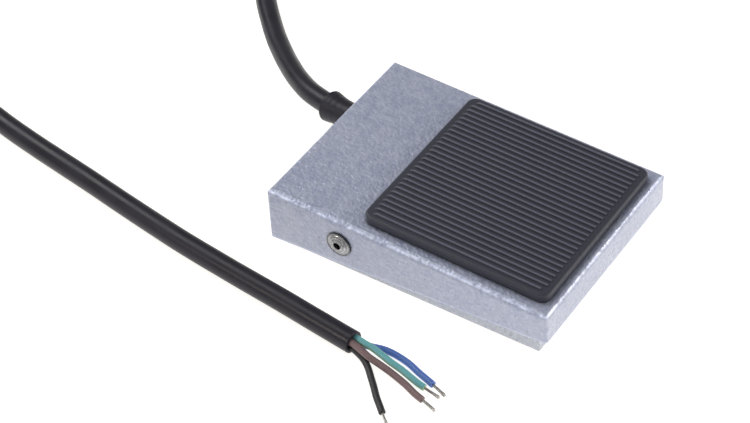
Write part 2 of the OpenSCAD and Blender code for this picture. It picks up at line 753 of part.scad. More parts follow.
module spring_post() {
    color(bright_steel) translate([0, spring_y, 0]) rotate_extrude() polygon([
        [0, foot_proud - post_foot_height], [post_foot_radius, foot_proud - post_foot_height],
        [post_foot_radius, foot_proud], [post_stem_radius, foot_proud], [post_stem_radius, floor_top],
        [seat_radius, floor_top], [seat_radius, floor_top + seat_thickness],
        [spigot_radius, floor_top + seat_thickness],
        [spigot_radius, floor_top + seat_thickness + post_height - seat_thickness / 2],
        [spigot_radius - seat_thickness / 2, floor_top + seat_thickness + post_height],
        [0, floor_top + seat_thickness + post_height]
    ]);
}

// Height of the spring's wire after so many turns: both end turns are closed up
function spring_z(t) = spring_bottom + spring_wire / 2
    + spring_end_pitch * min(t, 1)
    + spring_pitch * min(max(t - 1, 0), spring_active_turns)
    + spring_end_pitch * max(t - 1 - spring_active_turns, 0);

module return_spring() {
    steps = spring_turns * spring_rings;
    path = [for (i = [0 : steps])
        let (t = i / spring_rings)
        [spring_diameter / 2 * cos(360 * t), spring_y + spring_diameter / 2 * sin(360 * t), spring_z(t)]];
    color(bright_steel) tube(path, spring_wire, spring_sides);
}

module at_bracket_rivets() {
    for (side = [-1, 1])
        translate([bracket_rivet_x, switch_y + side * bracket_rivet_spacing / 2, 0]) children();
}

// Repeats things at the switch's two screws, with their axis along local Z, towards -X
module at_switch_screws() {
    for (side = [-1, 1])
        translate([0, switch_y + side * case_hole_spacing / 2, case_bottom + case_hole_height])
            rotate([0, -90, 0]) children();
}

module switch_bracket() {
    color(bright_steel) difference() {
        translate([bracket_x, switch_y, floor_top]) rotate([90, 0, 0])
            linear_extrude(bracket_length, center = true) {
                translate([-bracket_sheet, bracket_bend])
                    square([bracket_sheet, bracket_height - bracket_bend]);
                translate([-bracket_sheet - bracket_foot, 0])
                    square([bracket_foot + bracket_sheet - bracket_bend, bracket_sheet]);
                translate([-bracket_bend, bracket_bend]) circle(r = bracket_bend);
            }
        at_switch_screws() translate([0, 0, -bracket_x - cut])
            cylinder(r = case_screw_radius, h = bracket_sheet + 2 * cut);
        at_bracket_rivets() translate([0, 0, floor_top - cut])
            cylinder(r = bracket_rivet_radius, h = bracket_sheet + 2 * cut);
    }
}

module bracket_rivets() {
    head_ball = (bracket_rivet_head_radius * bracket_rivet_head_radius
        + bracket_rivet_head_height * bracket_rivet_head_height) / 2 / bracket_rivet_head_height;
    head_bottom = floor_top + bracket_sheet;
    color(bright_steel) at_bracket_rivets() rotate_extrude() {
        translate([0, foot_proud]) square([bracket_rivet_radius, head_bottom - foot_proud]);
        translate([0, foot_proud - bracket_rivet_tail_height])
            square([bracket_rivet_tail_radius, bracket_rivet_tail_height]);
        intersection() {
            translate([0, head_bottom + bracket_rivet_head_height - head_ball]) circle(r = head_ball);
            translate([0, head_bottom]) square([bracket_rivet_head_radius, bracket_rivet_head_height]);
        }
    }
}

module switch_case() {
    lug_width = (case_width - lever_width) / 2 - lug_gap;
    color(case_black) difference() {
        union() {
            translate([switch_x, 0, 0]) across(case_width) round_rectangle(
                switch_y - case_length / 2, switch_y + case_length / 2, case_bottom, case_top, case_edge);
            for (side = [-1, 1])
                translate([switch_x + side * (lever_width / 2 + lug_gap + lug_width / 2), 0, 0])
                    across(lug_width) {
                        translate([hinge_y, hinge_z]) circle(r = lug_radius);
                        translate([hinge_y - lug_radius, case_top - case_edge])
                            square([2 * lug_radius, hinge_lift + case_edge]);
                    }
        }
        at_switch_screws() translate([0, 0, -switch_x - case_width / 2 - cut])
            cylinder(r = case_screw_radius + case_hole_clearance, h = case_width + 2 * cut);
        translate([switch_x, plunger_y, plunger_top - plunger_length - plunger_well])
            cylinder(r = plunger_radius + running_clearance, h = case_height);
        translate([switch_x - case_width / 2 - cut, hinge_y, hinge_z]) rotate([0, 90, 0])
            cylinder(r = pin_radius, h = case_width + 2 * cut);
    }
}

module lever_pin() {
    color(bright_steel) translate([switch_x - case_width / 2, hinge_y, hinge_z]) rotate([0, 90, 0])
        cylinder(r = pin_radius, h = case_width);
}

module switch_lever() {
    color(bright_steel) translate([switch_x, hinge_y, hinge_z]) rotate([-lever_rest_angle, 0, 0])
        difference() {
            union() {
                translate([-lever_width / 2, -lever_length, -lever_thickness / 2])
                    cube([lever_width, lever_length, lever_thickness]);
                rotate([0, 90, 0]) cylinder(r = knuckle_radius, h = lever_width, center = true);
            }
            rotate([0, 90, 0])
                cylinder(r = pin_radius + running_clearance, h = lever_width + 2 * cut, center = true);
        }
}

module switch_plunger() {
    color(tin) translate([switch_x, plunger_y, plunger_top - plunger_length]) {
        cylinder(r = plunger_radius, h = plunger_length - plunger_radius);
        translate([0, 0, plunger_length - plunger_radius]) sphere(r = plunger_radius);
    }
}

terminal_ys = [for (i = [-1 : 1]) switch_y + i * terminal_spacing];

module switch_terminals() {
    color(tin) for (y = terminal_ys)
        translate([switch_x - terminal_width / 2, y - terminal_thickness / 2, case_bottom - terminal_length])
            cube([terminal_width, terminal_thickness, terminal_length]);
}

module terminal_sleeves() {
    color(case_black) for (y = terminal_ys)
        translate([wire_x + sleeve_gap, y, wire_z]) rotate([0, 90, 0]) difference() {
            cylinder(r = sleeve_radius, h = sleeve_length);
            translate([0, 0, -cut])
                cylinder(r = sleeve_radius - sleeve_wall, h = sleeve_length + 2 * cut);
        }
}

module switch_screws() {
    head_x = -switch_x - case_width / 2;
    shank = case_width + bracket_sheet + nut_thickness + screw_end;
    color(bright_steel) at_switch_screws() translate([0, 0, head_x]) difference() {
        union() {
            cylinder(r = case_screw_radius, h = shank);
            translate([0, 0, -screw_head_height]) cylinder(r = screw_head_radius, h = screw_head_height);
        }
        translate([-screw_slot_width / 2, -screw_head_radius, -screw_head_height - cut])
            cube([screw_slot_width, 2 * screw_head_radius, screw_slot_depth + cut]);
    }
}

module switch_nuts() {
    color(bright_steel) at_switch_screws()
        translate([0, 0, -switch_x + case_width / 2 + bracket_sheet]) difference() {
            cylinder(r = nut_radius, h = nut_thickness, $fn = 6);
            translate([0, 0, -cut]) cylinder(r = case_screw_radius, h = nut_thickness + 2 * cut);
        }
}

// Strain relief: a collar that grips the base's rear wall, and the bent boot outside it
module strain_relief() {
    shares = len(boot_station_shares) - 1;
    inner_y = base_back - sheet;
    color(black_rubber) {
        translate([gland_x, sheath_start, gland_z]) rotate([-90, 0, 0]) {
            cylinder(r = gland_nose_radius, h = gland_nose_length);
            translate([0, 0, gland_nose_length])
                cylinder(r = gland_flange_radius, h = gland_flange_thickness);
            translate([0, 0, inner_y - sheath_start]) cylinder(r = gland_hole_radius, h = sheet);
        }
        skin([for (i = [0 : shares])
            let (s = boot_station_shares[i] * boot_length)
            ring_at(
                boot_point(s), boot_direction(s), boot_radius_shares[i] * boot_diameter / 2, boot_sides)]);
    }
}

module cable_sheath() {
    color(cable_black) translate([gland_x, sheath_end, gland_z]) rotate([-90, 0, 0])
        cylinder(r = cord_diameter / 2, h = sheath_length);
}

module cable_tie() {
    inner = cord_diameter / 2 + tie_clearance;
    color(case_black) translate([gland_x, tie_y, gland_z]) rotate([-90, 0, 0]) difference() {
        union() {
            cylinder(r = inner + tie_thickness, h = tie_width);
            translate([-tie_head / 2, -inner - tie_head, 0]) cube([tie_head, tie_head, tie_width]);
        }
        translate([0, 0, -cut]) cylinder(r = inner, h = tie_width + 2 * cut);
    }
}

// Cores inside the base: each runs out of the sheath towards the front and curves over to its terminal
function curve(a, b, c, d) = [for (i = [0 : core_rings])
    let (t = i / core_rings, u = 1 - t)
    a * u * u * u + b * 3 * u * u * t + c * 3 * u * t * t + d * t * t * t];
function core_start(side, up) = [
    gland_x + side * core_spacing / 2, sheath_end, gland_z + up * core_spacing / 2
];
function terminal_end(i) = [wire_x, terminal_ys[i], wire_z];
sleeve_run = [sleeve_length + 2 * sleeve_gap, 0, 0];

module core_to_terminal(side, up, i, reach, drop, swing) {
    start = core_start(side, up);
    end = terminal_end(i);
    tube(
        concat(
            curve(start, start + [0, -reach, -drop], end + sleeve_run + [swing, 0, 0], end + sleeve_run),
            [end]),
        core_diameter, core_sides, [0, -1, 0], [-1, 0, 0]);
}

brown_bend = [14, 0, 12];
black_bend = [14, 5, 12];
blue_bend = [20, 5, 16];
earth_bend = [9, 0, 8];
module core_brown() {
    color(core_colour_brown) core_to_terminal(-1, 1, 2, brown_bend[0], brown_bend[1], brown_bend[2]);
}

module core_black() {
    color(core_colour_black) core_to_terminal(-1, -1, 1, black_bend[0], black_bend[1], black_bend[2]);
}

module core_blue() {
    color(core_colour_blue) core_to_terminal(1, -1, 0, blue_bend[0], blue_bend[1], blue_bend[2]);
}

tag_barrel_z = floor_top + tag_barrel_radius + sleeve_clearance;
module core_earth() {
    start = core_start(1, 1);
    end = [earth_x, tag_barrel_y, tag_barrel_z];
    mouth = end + [0, tag_barrel_length + sleeve_gap, 0];
    color(core_colour_earth) tube(
        concat(
            curve(start, start - [0, earth_bend[0], 0], mouth + [0, earth_bend[2], 0], mouth),
            [end]),
        core_diameter, core_sides, [0, -1, 0], [0, -1, 0]);
}

module earth_tag() {
    color(tin) translate([earth_x, earth_y, floor_top]) {
        difference() {
            union() {
                cylinder(r = tag_radius, h = tag_thickness);
                translate([-tag_neck_width / 2, 0, 0])
                    cube([tag_neck_width, tag_barrel_y - earth_y, tag_thickness]);
            }
            translate([0, 0, -cut])
                cylinder(r = earth_screw_radius + case_hole_clearance, h = tag_thickness + 2 * cut);
        }
        translate([0, tag_barrel_y - earth_y, tag_barrel_z - floor_top]) rotate([-90, 0, 0]) difference() {
            cylinder(r = tag_barrel_radius, h = tag_barrel_length);
            translate([0, 0, -cut])
                cylinder(r = tag_barrel_radius - tag_barrel_wall, h = tag_barrel_length + 2 * cut);
        }
        translate([-tag_neck_width / 2, tag_barrel_y - earth_y - tag_thickness, 0])
            cube([tag_neck_width, tag_thickness, tag_barrel_z - floor_top - core_diameter / 2]);
    }
}

module earth_washer() {
    color(bright_steel) translate([earth_x, earth_y, floor_top + tag_thickness]) difference() {
        cylinder(r = washer_radius, h = washer_thickness);
        translate([0, 0, -cut])
            cylinder(r = earth_screw_radius + case_hole_clearance, h = washer_thickness + 2 * cut);
    }
}

module earth_screw() {
    seat = floor_top + tag_thickness + washer_thickness;
    color(bright_steel) translate([earth_x, earth_y, 0]) difference() {
        union() {
            translate([0, 0, foot_proud - earth_screw_tail])
                cylinder(r = earth_screw_radius, h = seat - foot_proud + earth_screw_tail);
            translate([0, 0, seat]) cylinder(r = earth_head_radius, h = earth_head_height);
        }
        translate([-earth_slot_width / 2, -earth_head_radius, seat + earth_head_height - earth_slot_depth])
            cube([earth_slot_width, 2 * earth_head_radius, earth_slot_depth + cut]);
    }
}

lead_sides = 8;
module cord_lead() {
    color(cable_black)
        tube(lead_path, cord_diameter, lead_sides, boot_direction(boot_length), coil_in_direction);
}

module cord_coil() {
    color(cable_black) tube(coil_path, cord_diameter, coil_sides, coil_in_direction, coil_out_direction);
}

// Two plastic ties round the coil, with their heads inside it
module coil_ties() {
    t = coil_tie_thickness;
    top = coil_underside + cord_diameter + coil_pitch + coil_tie_gap;
    color(case_black) for (angle = coil_tie_angles) {
        low = min(coil_radii(angle)) - cord_diameter / 2 - coil_tie_slack;
        high = max(coil_radii(angle)) + cord_diameter / 2 + coil_tie_gap;
        translate([coil_centre[0], coil_centre[1], 0]) rotate([90, 0, angle]) {
            linear_extrude(coil_tie_width, center = true) difference() {
                round_rectangle(low - t, high + t, rest_gap, top + t, coil_tie_corner);
                round_rectangle(low, high, rest_gap + t, top, coil_tie_corner - t);
            }
            linear_extrude(coil_tie_head_width, center = true)
                translate([low - t / 2 - coil_tie_head_depth, (top - coil_tie_head_height) / 2])
                    square([coil_tie_head_depth, coil_tie_head_height]);
        }
    }
}

module cord_free_end() {
    color(cable_black) tube(free_end_path, cord_diameter, lead_sides, coil_out_direction, cut_direction);
}

module tail(path) {
    tube(path, core_diameter, core_sides, cut_direction);
}

module tail_green_yellow() {
    color(core_colour_earth) tail(earth_tail);
}

module tail_blue() {
    color(core_colour_blue) tail(blue_tail);
}

module tail_brown() {
    color(core_colour_brown) tail(brown_tail);
}

module tail_black() {
    color(core_colour_black) tail(black_tail);
}

// Bare strands, going straight on from each tail and drooping a little
module tail_strands() {
    color(tin) for (path = [earth_tail, blue_tail, brown_tail, black_tail]) {
        tip = path[len(path) - 1];
        ahead = unit(tip - path[len(path) - 2]);
        low = max(strand_diameter / 2 + rest_gap, tip[2] + ahead[2] * strand_length - strand_drop);
        end = [tip[0] + ahead[0] * strand_length, tip[1] + ahead[1] * strand_length, low];
        tube([tip, end], strand_diameter, strand_sides, ahead);
    }
}

pedal_cover();
tread_pad();
cover_striker();
cover_spring_seat();
base_pan();
rubber_feet();
pivot_rivets();
rivet_mandrels();
spring_post();
return_spring();
switch_bracket();
bracket_rivets();
switch_case();
lever_pin();
switch_lever();
switch_plunger();
switch_terminals();
terminal_sleeves();
switch_screws();
switch_nuts();
strain_relief();
cable_sheath();
cable_tie();
core_brown();
core_black();
core_blue();
core_earth();
earth_tag();
earth_washer();
earth_screw();
cord_lead();
cord_coil();
coil_ties();
cord_free_end();
tail_green_yellow();
tail_blue();
tail_brown();
tail_black();
tail_strands();
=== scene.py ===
"""Looks of the foot switch: camera, cable, rubber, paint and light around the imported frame.

Sizes and places of the pieces are in millimetres, as in part.scad, until MM turns them into metres.
The camera's focal length and sensor are in millimetres.
"""

import math
import random

import bpy
from mathutils import Matrix, Vector


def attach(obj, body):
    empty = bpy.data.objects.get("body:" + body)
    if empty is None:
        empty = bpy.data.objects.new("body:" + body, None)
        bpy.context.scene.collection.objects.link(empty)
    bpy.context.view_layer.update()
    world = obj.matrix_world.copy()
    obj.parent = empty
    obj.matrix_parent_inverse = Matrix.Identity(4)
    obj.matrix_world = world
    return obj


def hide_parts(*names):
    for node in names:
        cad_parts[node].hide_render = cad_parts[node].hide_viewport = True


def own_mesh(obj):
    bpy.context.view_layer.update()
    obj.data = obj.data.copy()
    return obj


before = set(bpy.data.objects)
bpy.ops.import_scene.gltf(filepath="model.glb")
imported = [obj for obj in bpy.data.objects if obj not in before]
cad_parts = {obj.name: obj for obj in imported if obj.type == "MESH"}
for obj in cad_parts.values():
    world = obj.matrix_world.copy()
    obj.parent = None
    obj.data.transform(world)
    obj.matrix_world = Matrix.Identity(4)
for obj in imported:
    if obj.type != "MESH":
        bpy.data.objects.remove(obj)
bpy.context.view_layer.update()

MM = 0.001
UPRIGHT = Vector((0, 0, 1))
BACKWARD = Vector((0, 1, 0))


def mm(*values):
    """A vector in metres from sizes in millimetres."""
    return Vector([v * MM for v in values])


# Camera, at the photograph's angle
EYE = Vector((-0.48582, -0.30911, 0.55508))
AZIMUTH = math.radians(-144.40221)
ELEVATION = math.radians(43.37891)
ROLL = math.radians(-3.32345)
FOCAL_LENGTH = 110.66
SENSOR_WIDTH = 36.0
NEAR_CLIP = 0.01
FAR_CLIP = 20

camera_data = bpy.data.cameras.new("camera")
camera_data.lens = FOCAL_LENGTH
camera_data.sensor_width = SENSOR_WIDTH
camera_data.clip_start = NEAR_CLIP
camera_data.clip_end = FAR_CLIP
camera = bpy.data.objects.new("camera", camera_data)
bpy.context.collection.objects.link(camera)
camera.matrix_world = (
    Matrix.Translation(EYE)
    @ Matrix.Rotation(math.pi / 2 + AZIMUTH, 4, "Z")
    @ Matrix.Rotation(math.pi / 2 - ELEVATION, 4, "X")
    @ Matrix.Rotation(ROLL, 4, "Z"))
bpy.context.scene.camera = camera

# Meshes
SHARP_EDGE = math.radians(40)


def unit(v):
    return v / v.length


def mix(a, b, t):
    return a + (b - a) * t


def ease(t):
    """Goes smoothly from 0 to 1 as t does."""
    return t * t * (3 - 2 * t)


def make_piece(name, points, faces, uvs=None):
    """A smooth mesh object in the part's frame. uvs holds one list of corners for each face."""
    mesh = bpy.data.meshes.new(name)
    mesh.from_pydata([tuple(p) for p in points], [], faces)
    if uvs:
        layer = mesh.uv_layers.new(name="UVMap")
        corners = [uv for face_uvs in uvs for uv in face_uvs]
        for corner, uv in zip(layer.data, corners):
            corner.uv = uv
    mesh.validate()
    mesh.update()
    for polygon in mesh.polygons:
        polygon.use_smooth = True
    mesh.set_sharp_from_angle(angle=SHARP_EDGE)
    piece = bpy.data.objects.new(name, mesh)
    bpy.context.collection.objects.link(piece)
    return piece


def ring(centre, direction, radius, sides):
    """Points of a circle round centre, square to direction."""
    side = unit(direction.cross(UPRIGHT))
    up = direction.cross(side)
    angles = [2 * math.pi * k / sides for k in range(sides)]
    return [centre + side * radius * math.cos(a) + up * radius * math.sin(a) for a in angles]


def directions(path, first=None, last=None):
    """A path's direction at each of its points."""
    steps = [unit(b - a) for a, b in zip(path, path[1:])]
    middle = [unit(a + b) for a, b in zip(steps, steps[1:])]
    return [first or steps[0], *middle, last or steps[-1]]


def skin_faces(count, sides, base=0):
    """Faces of a closed skin through count rings, whose points start at base."""
    faces = []
    for i in range(count - 1):
        for k in range(sides):
            a, b = base + i * sides + k, base + i * sides + (k + 1) % sides
            faces.append((a, b, b + sides, a + sides))
    end = base + count * sides
    faces.append(tuple(reversed(range(base, base + sides))))
    faces.append(tuple(range(end - sides, end)))
    return faces


def loft(name, rings):
    """A closed skin through rings of equal counts, with UVs in metres along it and turns around it."""
    sides = len(rings[0])
    middles = [sum(circle, Vector()) / sides for circle in rings]
    uvs = []
    along = 0.0
    for middle, following in zip(middles, middles[1:]):
        further = along + (following - middle).length
        for k in range(sides):
            start, stop = k / sides, (k + 1) / sides
            uvs.append([(along, start), (along, stop), (further, stop), (further, start)])
        along = further
    uvs.append([(0, 0)] * sides)
    uvs.append([(along, 0)] * sides)
    points = [p for circle in rings for p in circle]
    return make_piece(name, points, skin_faces(len(rings), sides), uvs)


def circles(path, radius, sides, first=None, last=None):
    ways = directions(path, first, last)
    return [ring(p, way, radius, sides) for p, way in zip(path, ways)]


def tube(name, path, radius, sides, first=None, last=None):
    return loft(name, circles(path, radius, sides, first, last))


def on_line(a, b, start, stop, t):
    """Point at t on the line that is at a for start and at b for stop."""
    return a * ((stop - t) / (stop - start)) + b * ((t - start) / (stop - start))


def curve_through(points, step, first=None, last=None):
    """Points about step apart on a smooth curve through all of points (centripetal Catmull-Rom)."""
    first_step, last_step = points[1] - points[0], points[-1] - points[-2]
    before = points[0] - (first or unit(first_step)) * first_step.length
    after = points[-1] + (last or unit(last_step)) * last_step.length
    knots = [before, *points, after]
    curve = [points[0]]
    for i in range(1, len(knots) - 2):
        p0, p1, p2, p3 = knots[i - 1 : i + 3]
        t1 = (p1 - p0).length ** 0.5
        t2 = t1 + (p2 - p1).length ** 0.5
        t3 = t2 + (p3 - p2).length ** 0.5
        count = max(1, round((p2 - p1).length / step))
        for k in range(1, count + 1):
            t = t1 + (t2 - t1) * k / count
            a1 = on_line(p0, p1, 0, t1, t)
            a2 = on_line(p1, p2, t1, t2, t)
            a3 = on_line(p2, p3, t2, t3, t)
            b1 = on_line(a1, a2, 0, t2, t)
            b2 = on_line(a2, a3, t1, t3, t)
            curve.append(on_line(b1, b2, t1, t2, t))
    return curve


def bend(a, b, c, d, count=28):
    """Points on a smooth bend from a to d, led by b and c."""
    curve = []
    for i in range(count + 1):
        t = i / count
        u = 1 - t
        curve.append(a * u**3 + b * 3 * u * u * t + c * 3 * u * t * t + d * t**3)
    return curve


def eased_value(stations, values, place):
    """Smooth value at a place between the values at the stations."""
    for i in range(len(stations) - 1):
        if place <= stations[i + 1]:
            t = (place - stations[i]) / (stations[i + 1] - stations[i])
            return mix(values[i], values[i + 1], ease(t))
    return values[-1]


# Casing, as part.scad has it: the pieces below are set against it
COVER_LENGTH = 110.0
COVER_WIDTH = 80.0
BACK_HEIGHT = 23.9
FRONT_HEIGHT = 19.6
SKIRT_BACK_RISE = 2.2
SKIRT_FRONT_RISE = 7.8
SHEET = 1.2
FOOT_PROUD = 1.5
REAR_GAP = 1.5
PIVOT_Y = 25.6
PIVOT_Z = 14.5
SLOPE = math.atan((BACK_HEIGHT - FRONT_HEIGHT) / COVER_LENGTH)
TOP = FOOT_PROUD + (BACK_HEIGHT + FRONT_HEIGHT) / 2
FLOOR_TOP = FOOT_PROUD + SHEET
BASE_BACK = COVER_LENGTH / 2 - SHEET - REAR_GAP

# Cable route, as part.scad has it
CORD = 8.0
CORE = 2.4
REST = 0.05
GLAND_SIDE_DISTANCE = 22.0
GLAND_HEIGHT = 11.0
GLAND_X = COVER_WIDTH / 2 - GLAND_SIDE_DISTANCE
GLAND_Z = FOOT_PROUD + GLAND_HEIGHT
OUTLET = Vector((GLAND_X, BASE_BACK, 0.0))
GLAND = Vector((GLAND_X, BASE_BACK, GLAND_Z))

BOOT_LENGTH = 18.8
BOOT_STRAIGHT = 2.0
BOOT_BEND = math.radians(18)
BOOT_TILT = math.radians(24.8)
BOOT_BEND_RADIUS = (BOOT_LENGTH - BOOT_STRAIGHT) / BOOT_BEND


def boot_turn(s):
    """Angle that the boot has bent by, at s along its middle."""
    return max(0.0, s - BOOT_STRAIGHT) / BOOT_BEND_RADIUS


def boot_vector(aside, ahead):
    """A vector that goes ahead out of the base, and aside in the tilted plane of the boot's bend."""
    return Vector((aside * math.cos(BOOT_TILT), ahead, -aside * math.sin(BOOT_TILT)))


def boot_point(s):
    turn = boot_turn(s)
    ahead = min(s, BOOT_STRAIGHT) + BOOT_BEND_RADIUS * math.sin(turn)
    return GLAND + boot_vector(BOOT_BEND_RADIUS * (1 - math.cos(turn)), ahead)


def boot_direction(s):
    turn = boot_turn(s)
    return boot_vector(math.sin(turn), math.cos(turn))


def lifted(points, start, diameter):
    """Places of a line's middle from those of its underside: x and y from start, z from the floor."""
    lift = diameter / 2 + REST
    return [Vector((start.x + x, start.y + y, z + lift)) for x, y, z in points]


LEAD = lifted([
    (6.6, 30, 5.6), (9.6, 35.3, 4.6), (13, 40.6, 3.6), (16.9, 45.8, 2.6), (21, 51, 1.7),
    (25.2, 56, 0.9), (29.5, 61, 0.4), (33.8, 65.6, 0.1), (38, 69.9, 0), (46.7, 78.3, 0),
    (57.5, 87.1, 0.1), (68.5, 95.9, 0.3), (79.5, 104.6, 0.5), (90.4, 113.3, 0.8),
], OUTLET, CORD)
FREE_END = lifted([
    (51, 216.1, 7.9), (36, 214.6, 4.4), (21.2, 211.3, 1.3), (7, 206.3, 0.1), (-7, 199.4, 0),
    (-20.7, 190.2, 0), (-33.2, 178.6, 0), (-43.4, 164.8, 0), (-51, 149.9, 0), (-56.3, 135, 0),
    (-60.2, 119.8, 0), (-63.2, 104.7, 0), (-65.8, 89.5, 0), (-68.3, 74.3, 0), (-71.1, 58.7, 0),
    (-73.8, 43.1, 0), (-76.3, 27.6, 0), (-78.3, 12.1, 0), (-80.1, -3.4, 0), (-81.8, -18.9, 0),
    (-83.7, -34.4, 0), (-85.6, -50.4, 0),
], OUTLET, CORD)

COIL_CENTRE = OUTLET + Vector((73, 165.3, 0))
COIL_INNER = 28.4
COIL_TURN_GAP = 0.6
COIL_PITCH = CORD + COIL_TURN_GAP
COIL_START_ANGLE = -48
COIL_IN = 2.7
COIL_OUT = 2.683
COIL_ROUND = 0.05
COIL_CLIMB = 0.5
COIL_TIE_THICKNESS = 0.8
COIL_TIE_GAP = 0.1
COIL_UNDER = REST + COIL_TIE_THICKNESS + COIL_TIE_GAP
COIL_STEPS = 360


def coil_point(u):
    """Point of the coil, u turns from its innermost place: in below, and out again above."""
    away = math.sqrt(u * u + COIL_ROUND * COIL_ROUND) - COIL_ROUND
    radius = COIL_INNER + COIL_PITCH * away
    angle = math.radians(COIL_START_ANGLE + 360 * (u + COIL_IN))
    climb = min(1.0, max(0.0, u / COIL_CLIMB + 0.5))
    x = COIL_CENTRE.x + radius * math.cos(angle)
    y = COIL_CENTRE.y + radius * math.sin(angle)
    return Vector((x, y, CORD / 2 + COIL_UNDER + COIL_PITCH * ease(climb)))


coil = [coil_point(mix(-COIL_IN, COIL_OUT, i / COIL_STEPS)) for i in range(COIL_STEPS + 1)]
coil_way_in = unit(coil[1] - coil[0])
coil_way_out = unit(coil[-1] - coil[-2])
coil_start = coil[0] - coil_way_in * CORD
coil_end = coil[-1] + coil_way_out * CORD

ROUTE_STEP = 2.5
lead = curve_through([boot_point(BOOT_LENGTH), *LEAD, coil_start], ROUTE_STEP,
                     boot_direction(BOOT_LENGTH), coil_way_in)
free_end = curve_through([coil_end, *FREE_END], ROUTE_STEP, coil_way_out)
route = [p * MM for p in [*lead, *coil, *free_end]]
cut_end = route[-1]
cut_way = unit(route[-1] - route[-2])

# Jacket: its cut end is a ring round the seats of the cores
JACKET_SIDES = 24
JACKET_WALL = 0.9
JACKET_BEVEL = 0.25
SEAT_DEPTH = 2.5
CUT_SECTION = [  # distance from the cut end, radius
    (JACKET_BEVEL, CORD / 2), (0, CORD / 2 - JACKET_BEVEL), (0, CORD / 2 - JACKET_WALL),
    (SEAT_DEPTH, CORD / 2 - JACKET_WALL),
]
jacket_rings = circles(route, CORD / 2 * MM, JACKET_SIDES)[:-1]
for depth, radius in CUT_SECTION:
    jacket_rings.append(ring(cut_end - cut_way * depth * MM, cut_way, radius * MM, JACKET_SIDES))
jacket = loft("cable_jacket", jacket_rings)

# Stripped cores and their strands: each core has its seat in the cable, to a side and up or down, and
# the points of its route, as part.scad has them
TAILS = {
    "green_yellow": (1, 1, [
        (0.7, -3.8, 3.95), (0.5, -7.3, 3.65), (-0.1, -10.9, 3.15), (-0.9, -15.3, 2.55),
        (-1.3, -19.4, 1.85), (-2, -23.1, 1.25), (-2.7, -26.8, 0.65), (-2.9, -29.3, 0.2),
    ]),
    "blue": (1, -1, [
        (2.5, -4.5, 1.25), (4, -9.3, 0.85), (4.3, -12.4, 0.55), (4.1, -16, 0.25),
        (3.4, -19.7, 0.05), (1.9, -24, 0), (0.7, -28, 0), (-0.2, -30.8, 0),
    ]),
    "brown": (-1, 1, [
        (-1.9, -3.5, 3.65), (-2.8, -7.8, 2.75), (-3, -11.2, 2.05), (-3.4, -15.3, 1.35),
        (-3.9, -18.8, 0.75), (-5, -23.5, 0.25), (-6.5, -27.7, 0.05), (-7.5, -31.3, 0),
    ]),
    "black": (-1, -1, [
        (-2.7, -5.3, 0.65), (-4.8, -8.5, 0.25), (-7.7, -11.6, 0.05), (-10.9, -14.9, 0),
        (-14.1, -18, 0), (-17.1, -21.4, 0), (-18.8, -23.3, 0),
    ]),
}
CORE_GAP = 0.1
CORE_SPACING = CORE + CORE_GAP
CORE_DEPTHS = (2.2, 1.5, 0.8)
CORE_STEP = 1.0
CORE_SIDES = 16
STRAND_LENGTH = 6.8
STRAND_BUNDLE = 1.0
STRAND_WIRE = 0.26
STRAND_DROP = 0.35
STRAND_OVERLAP = 0.4
STRAND_TWIST = 1.9
STRAND_STEPS = 8
STRAND_SIDES = 6
WIRES = 12
MIDDLE_WIRES = 2
WIRE_INSET = 0.02
WIRE_SHIFT = 0.2
WIRE_REACH = (0.86, 0.99)
WIRE_SPREAD = (1.0, 1.9)
WIRE_SEED = 7
chance = random.Random(WIRE_SEED)


def strand_bundle(name, tip, way, low):
    """Fine wires that leave a core's end together, twist a little and spread at their tips."""
    side = unit(way.cross(UPRIGHT))
    up = side.cross(way)
    sink = low - tip.z - way.z * STRAND_LENGTH
    outer = STRAND_BUNDLE / 2 - STRAND_WIRE / 2 - WIRE_INSET
    points = []
    faces = []
    for wire in range(WIRES):
        radius = 0.0 if wire < MIDDLE_WIRES else outer
        angle = 2 * math.pi * wire / (WIRES - MIDDLE_WIRES) + chance.uniform(-WIRE_SHIFT, WIRE_SHIFT)
        reach = STRAND_LENGTH * chance.uniform(*WIRE_REACH)
        spread = chance.uniform(*WIRE_SPREAD)
        path = []
        for k in range(STRAND_STEPS + 1):
            t = k / STRAND_STEPS
            a = angle + STRAND_TWIST * t
            r = radius * mix(1.0, spread, t * t)
            drop = Vector((0, 0, sink * t * t))
            place = tip + way * reach * t + drop + side * r * math.cos(a) + up * r * math.sin(a)
            place.z = max(place.z, STRAND_WIRE / 2 + REST)
            path.append(place * MM)
        rings = circles(path, STRAND_WIRE / 2 * MM, STRAND_SIDES)
        faces.extend(skin_faces(len(rings), STRAND_SIDES, len(points)))
        points.extend(p for circle in rings for p in circle)
    return make_piece(name, points, faces)


cut_side = unit(UPRIGHT.cross(cut_way))
cut_point = cut_end / MM
cores = {}
strands = {}
for colour, (side, up, points) in TAILS.items():
    seat = cut_point + cut_side * side * CORE_SPACING / 2 + UPRIGHT * up * CORE_SPACING / 2
    line = curve_through([seat, *lifted(points, cut_point, CORE)], CORE_STEP, cut_way)
    inside = [seat - cut_way * depth for depth in CORE_DEPTHS]
    path = [p * MM for p in [*inside, *line]]
    cores[colour] = tube(f"tail_core_{colour}", path, CORE / 2 * MM, CORE_SIDES, cut_way)
    tip = line[-1]
    ahead = unit(line[-1] - line[-3])
    low = max(STRAND_BUNDLE / 2 + REST, tip.z + ahead.z * STRAND_LENGTH - STRAND_DROP)
    strands[colour] = strand_bundle(f"tail_strands_{colour}", tip - ahead * STRAND_OVERLAP, ahead, low)

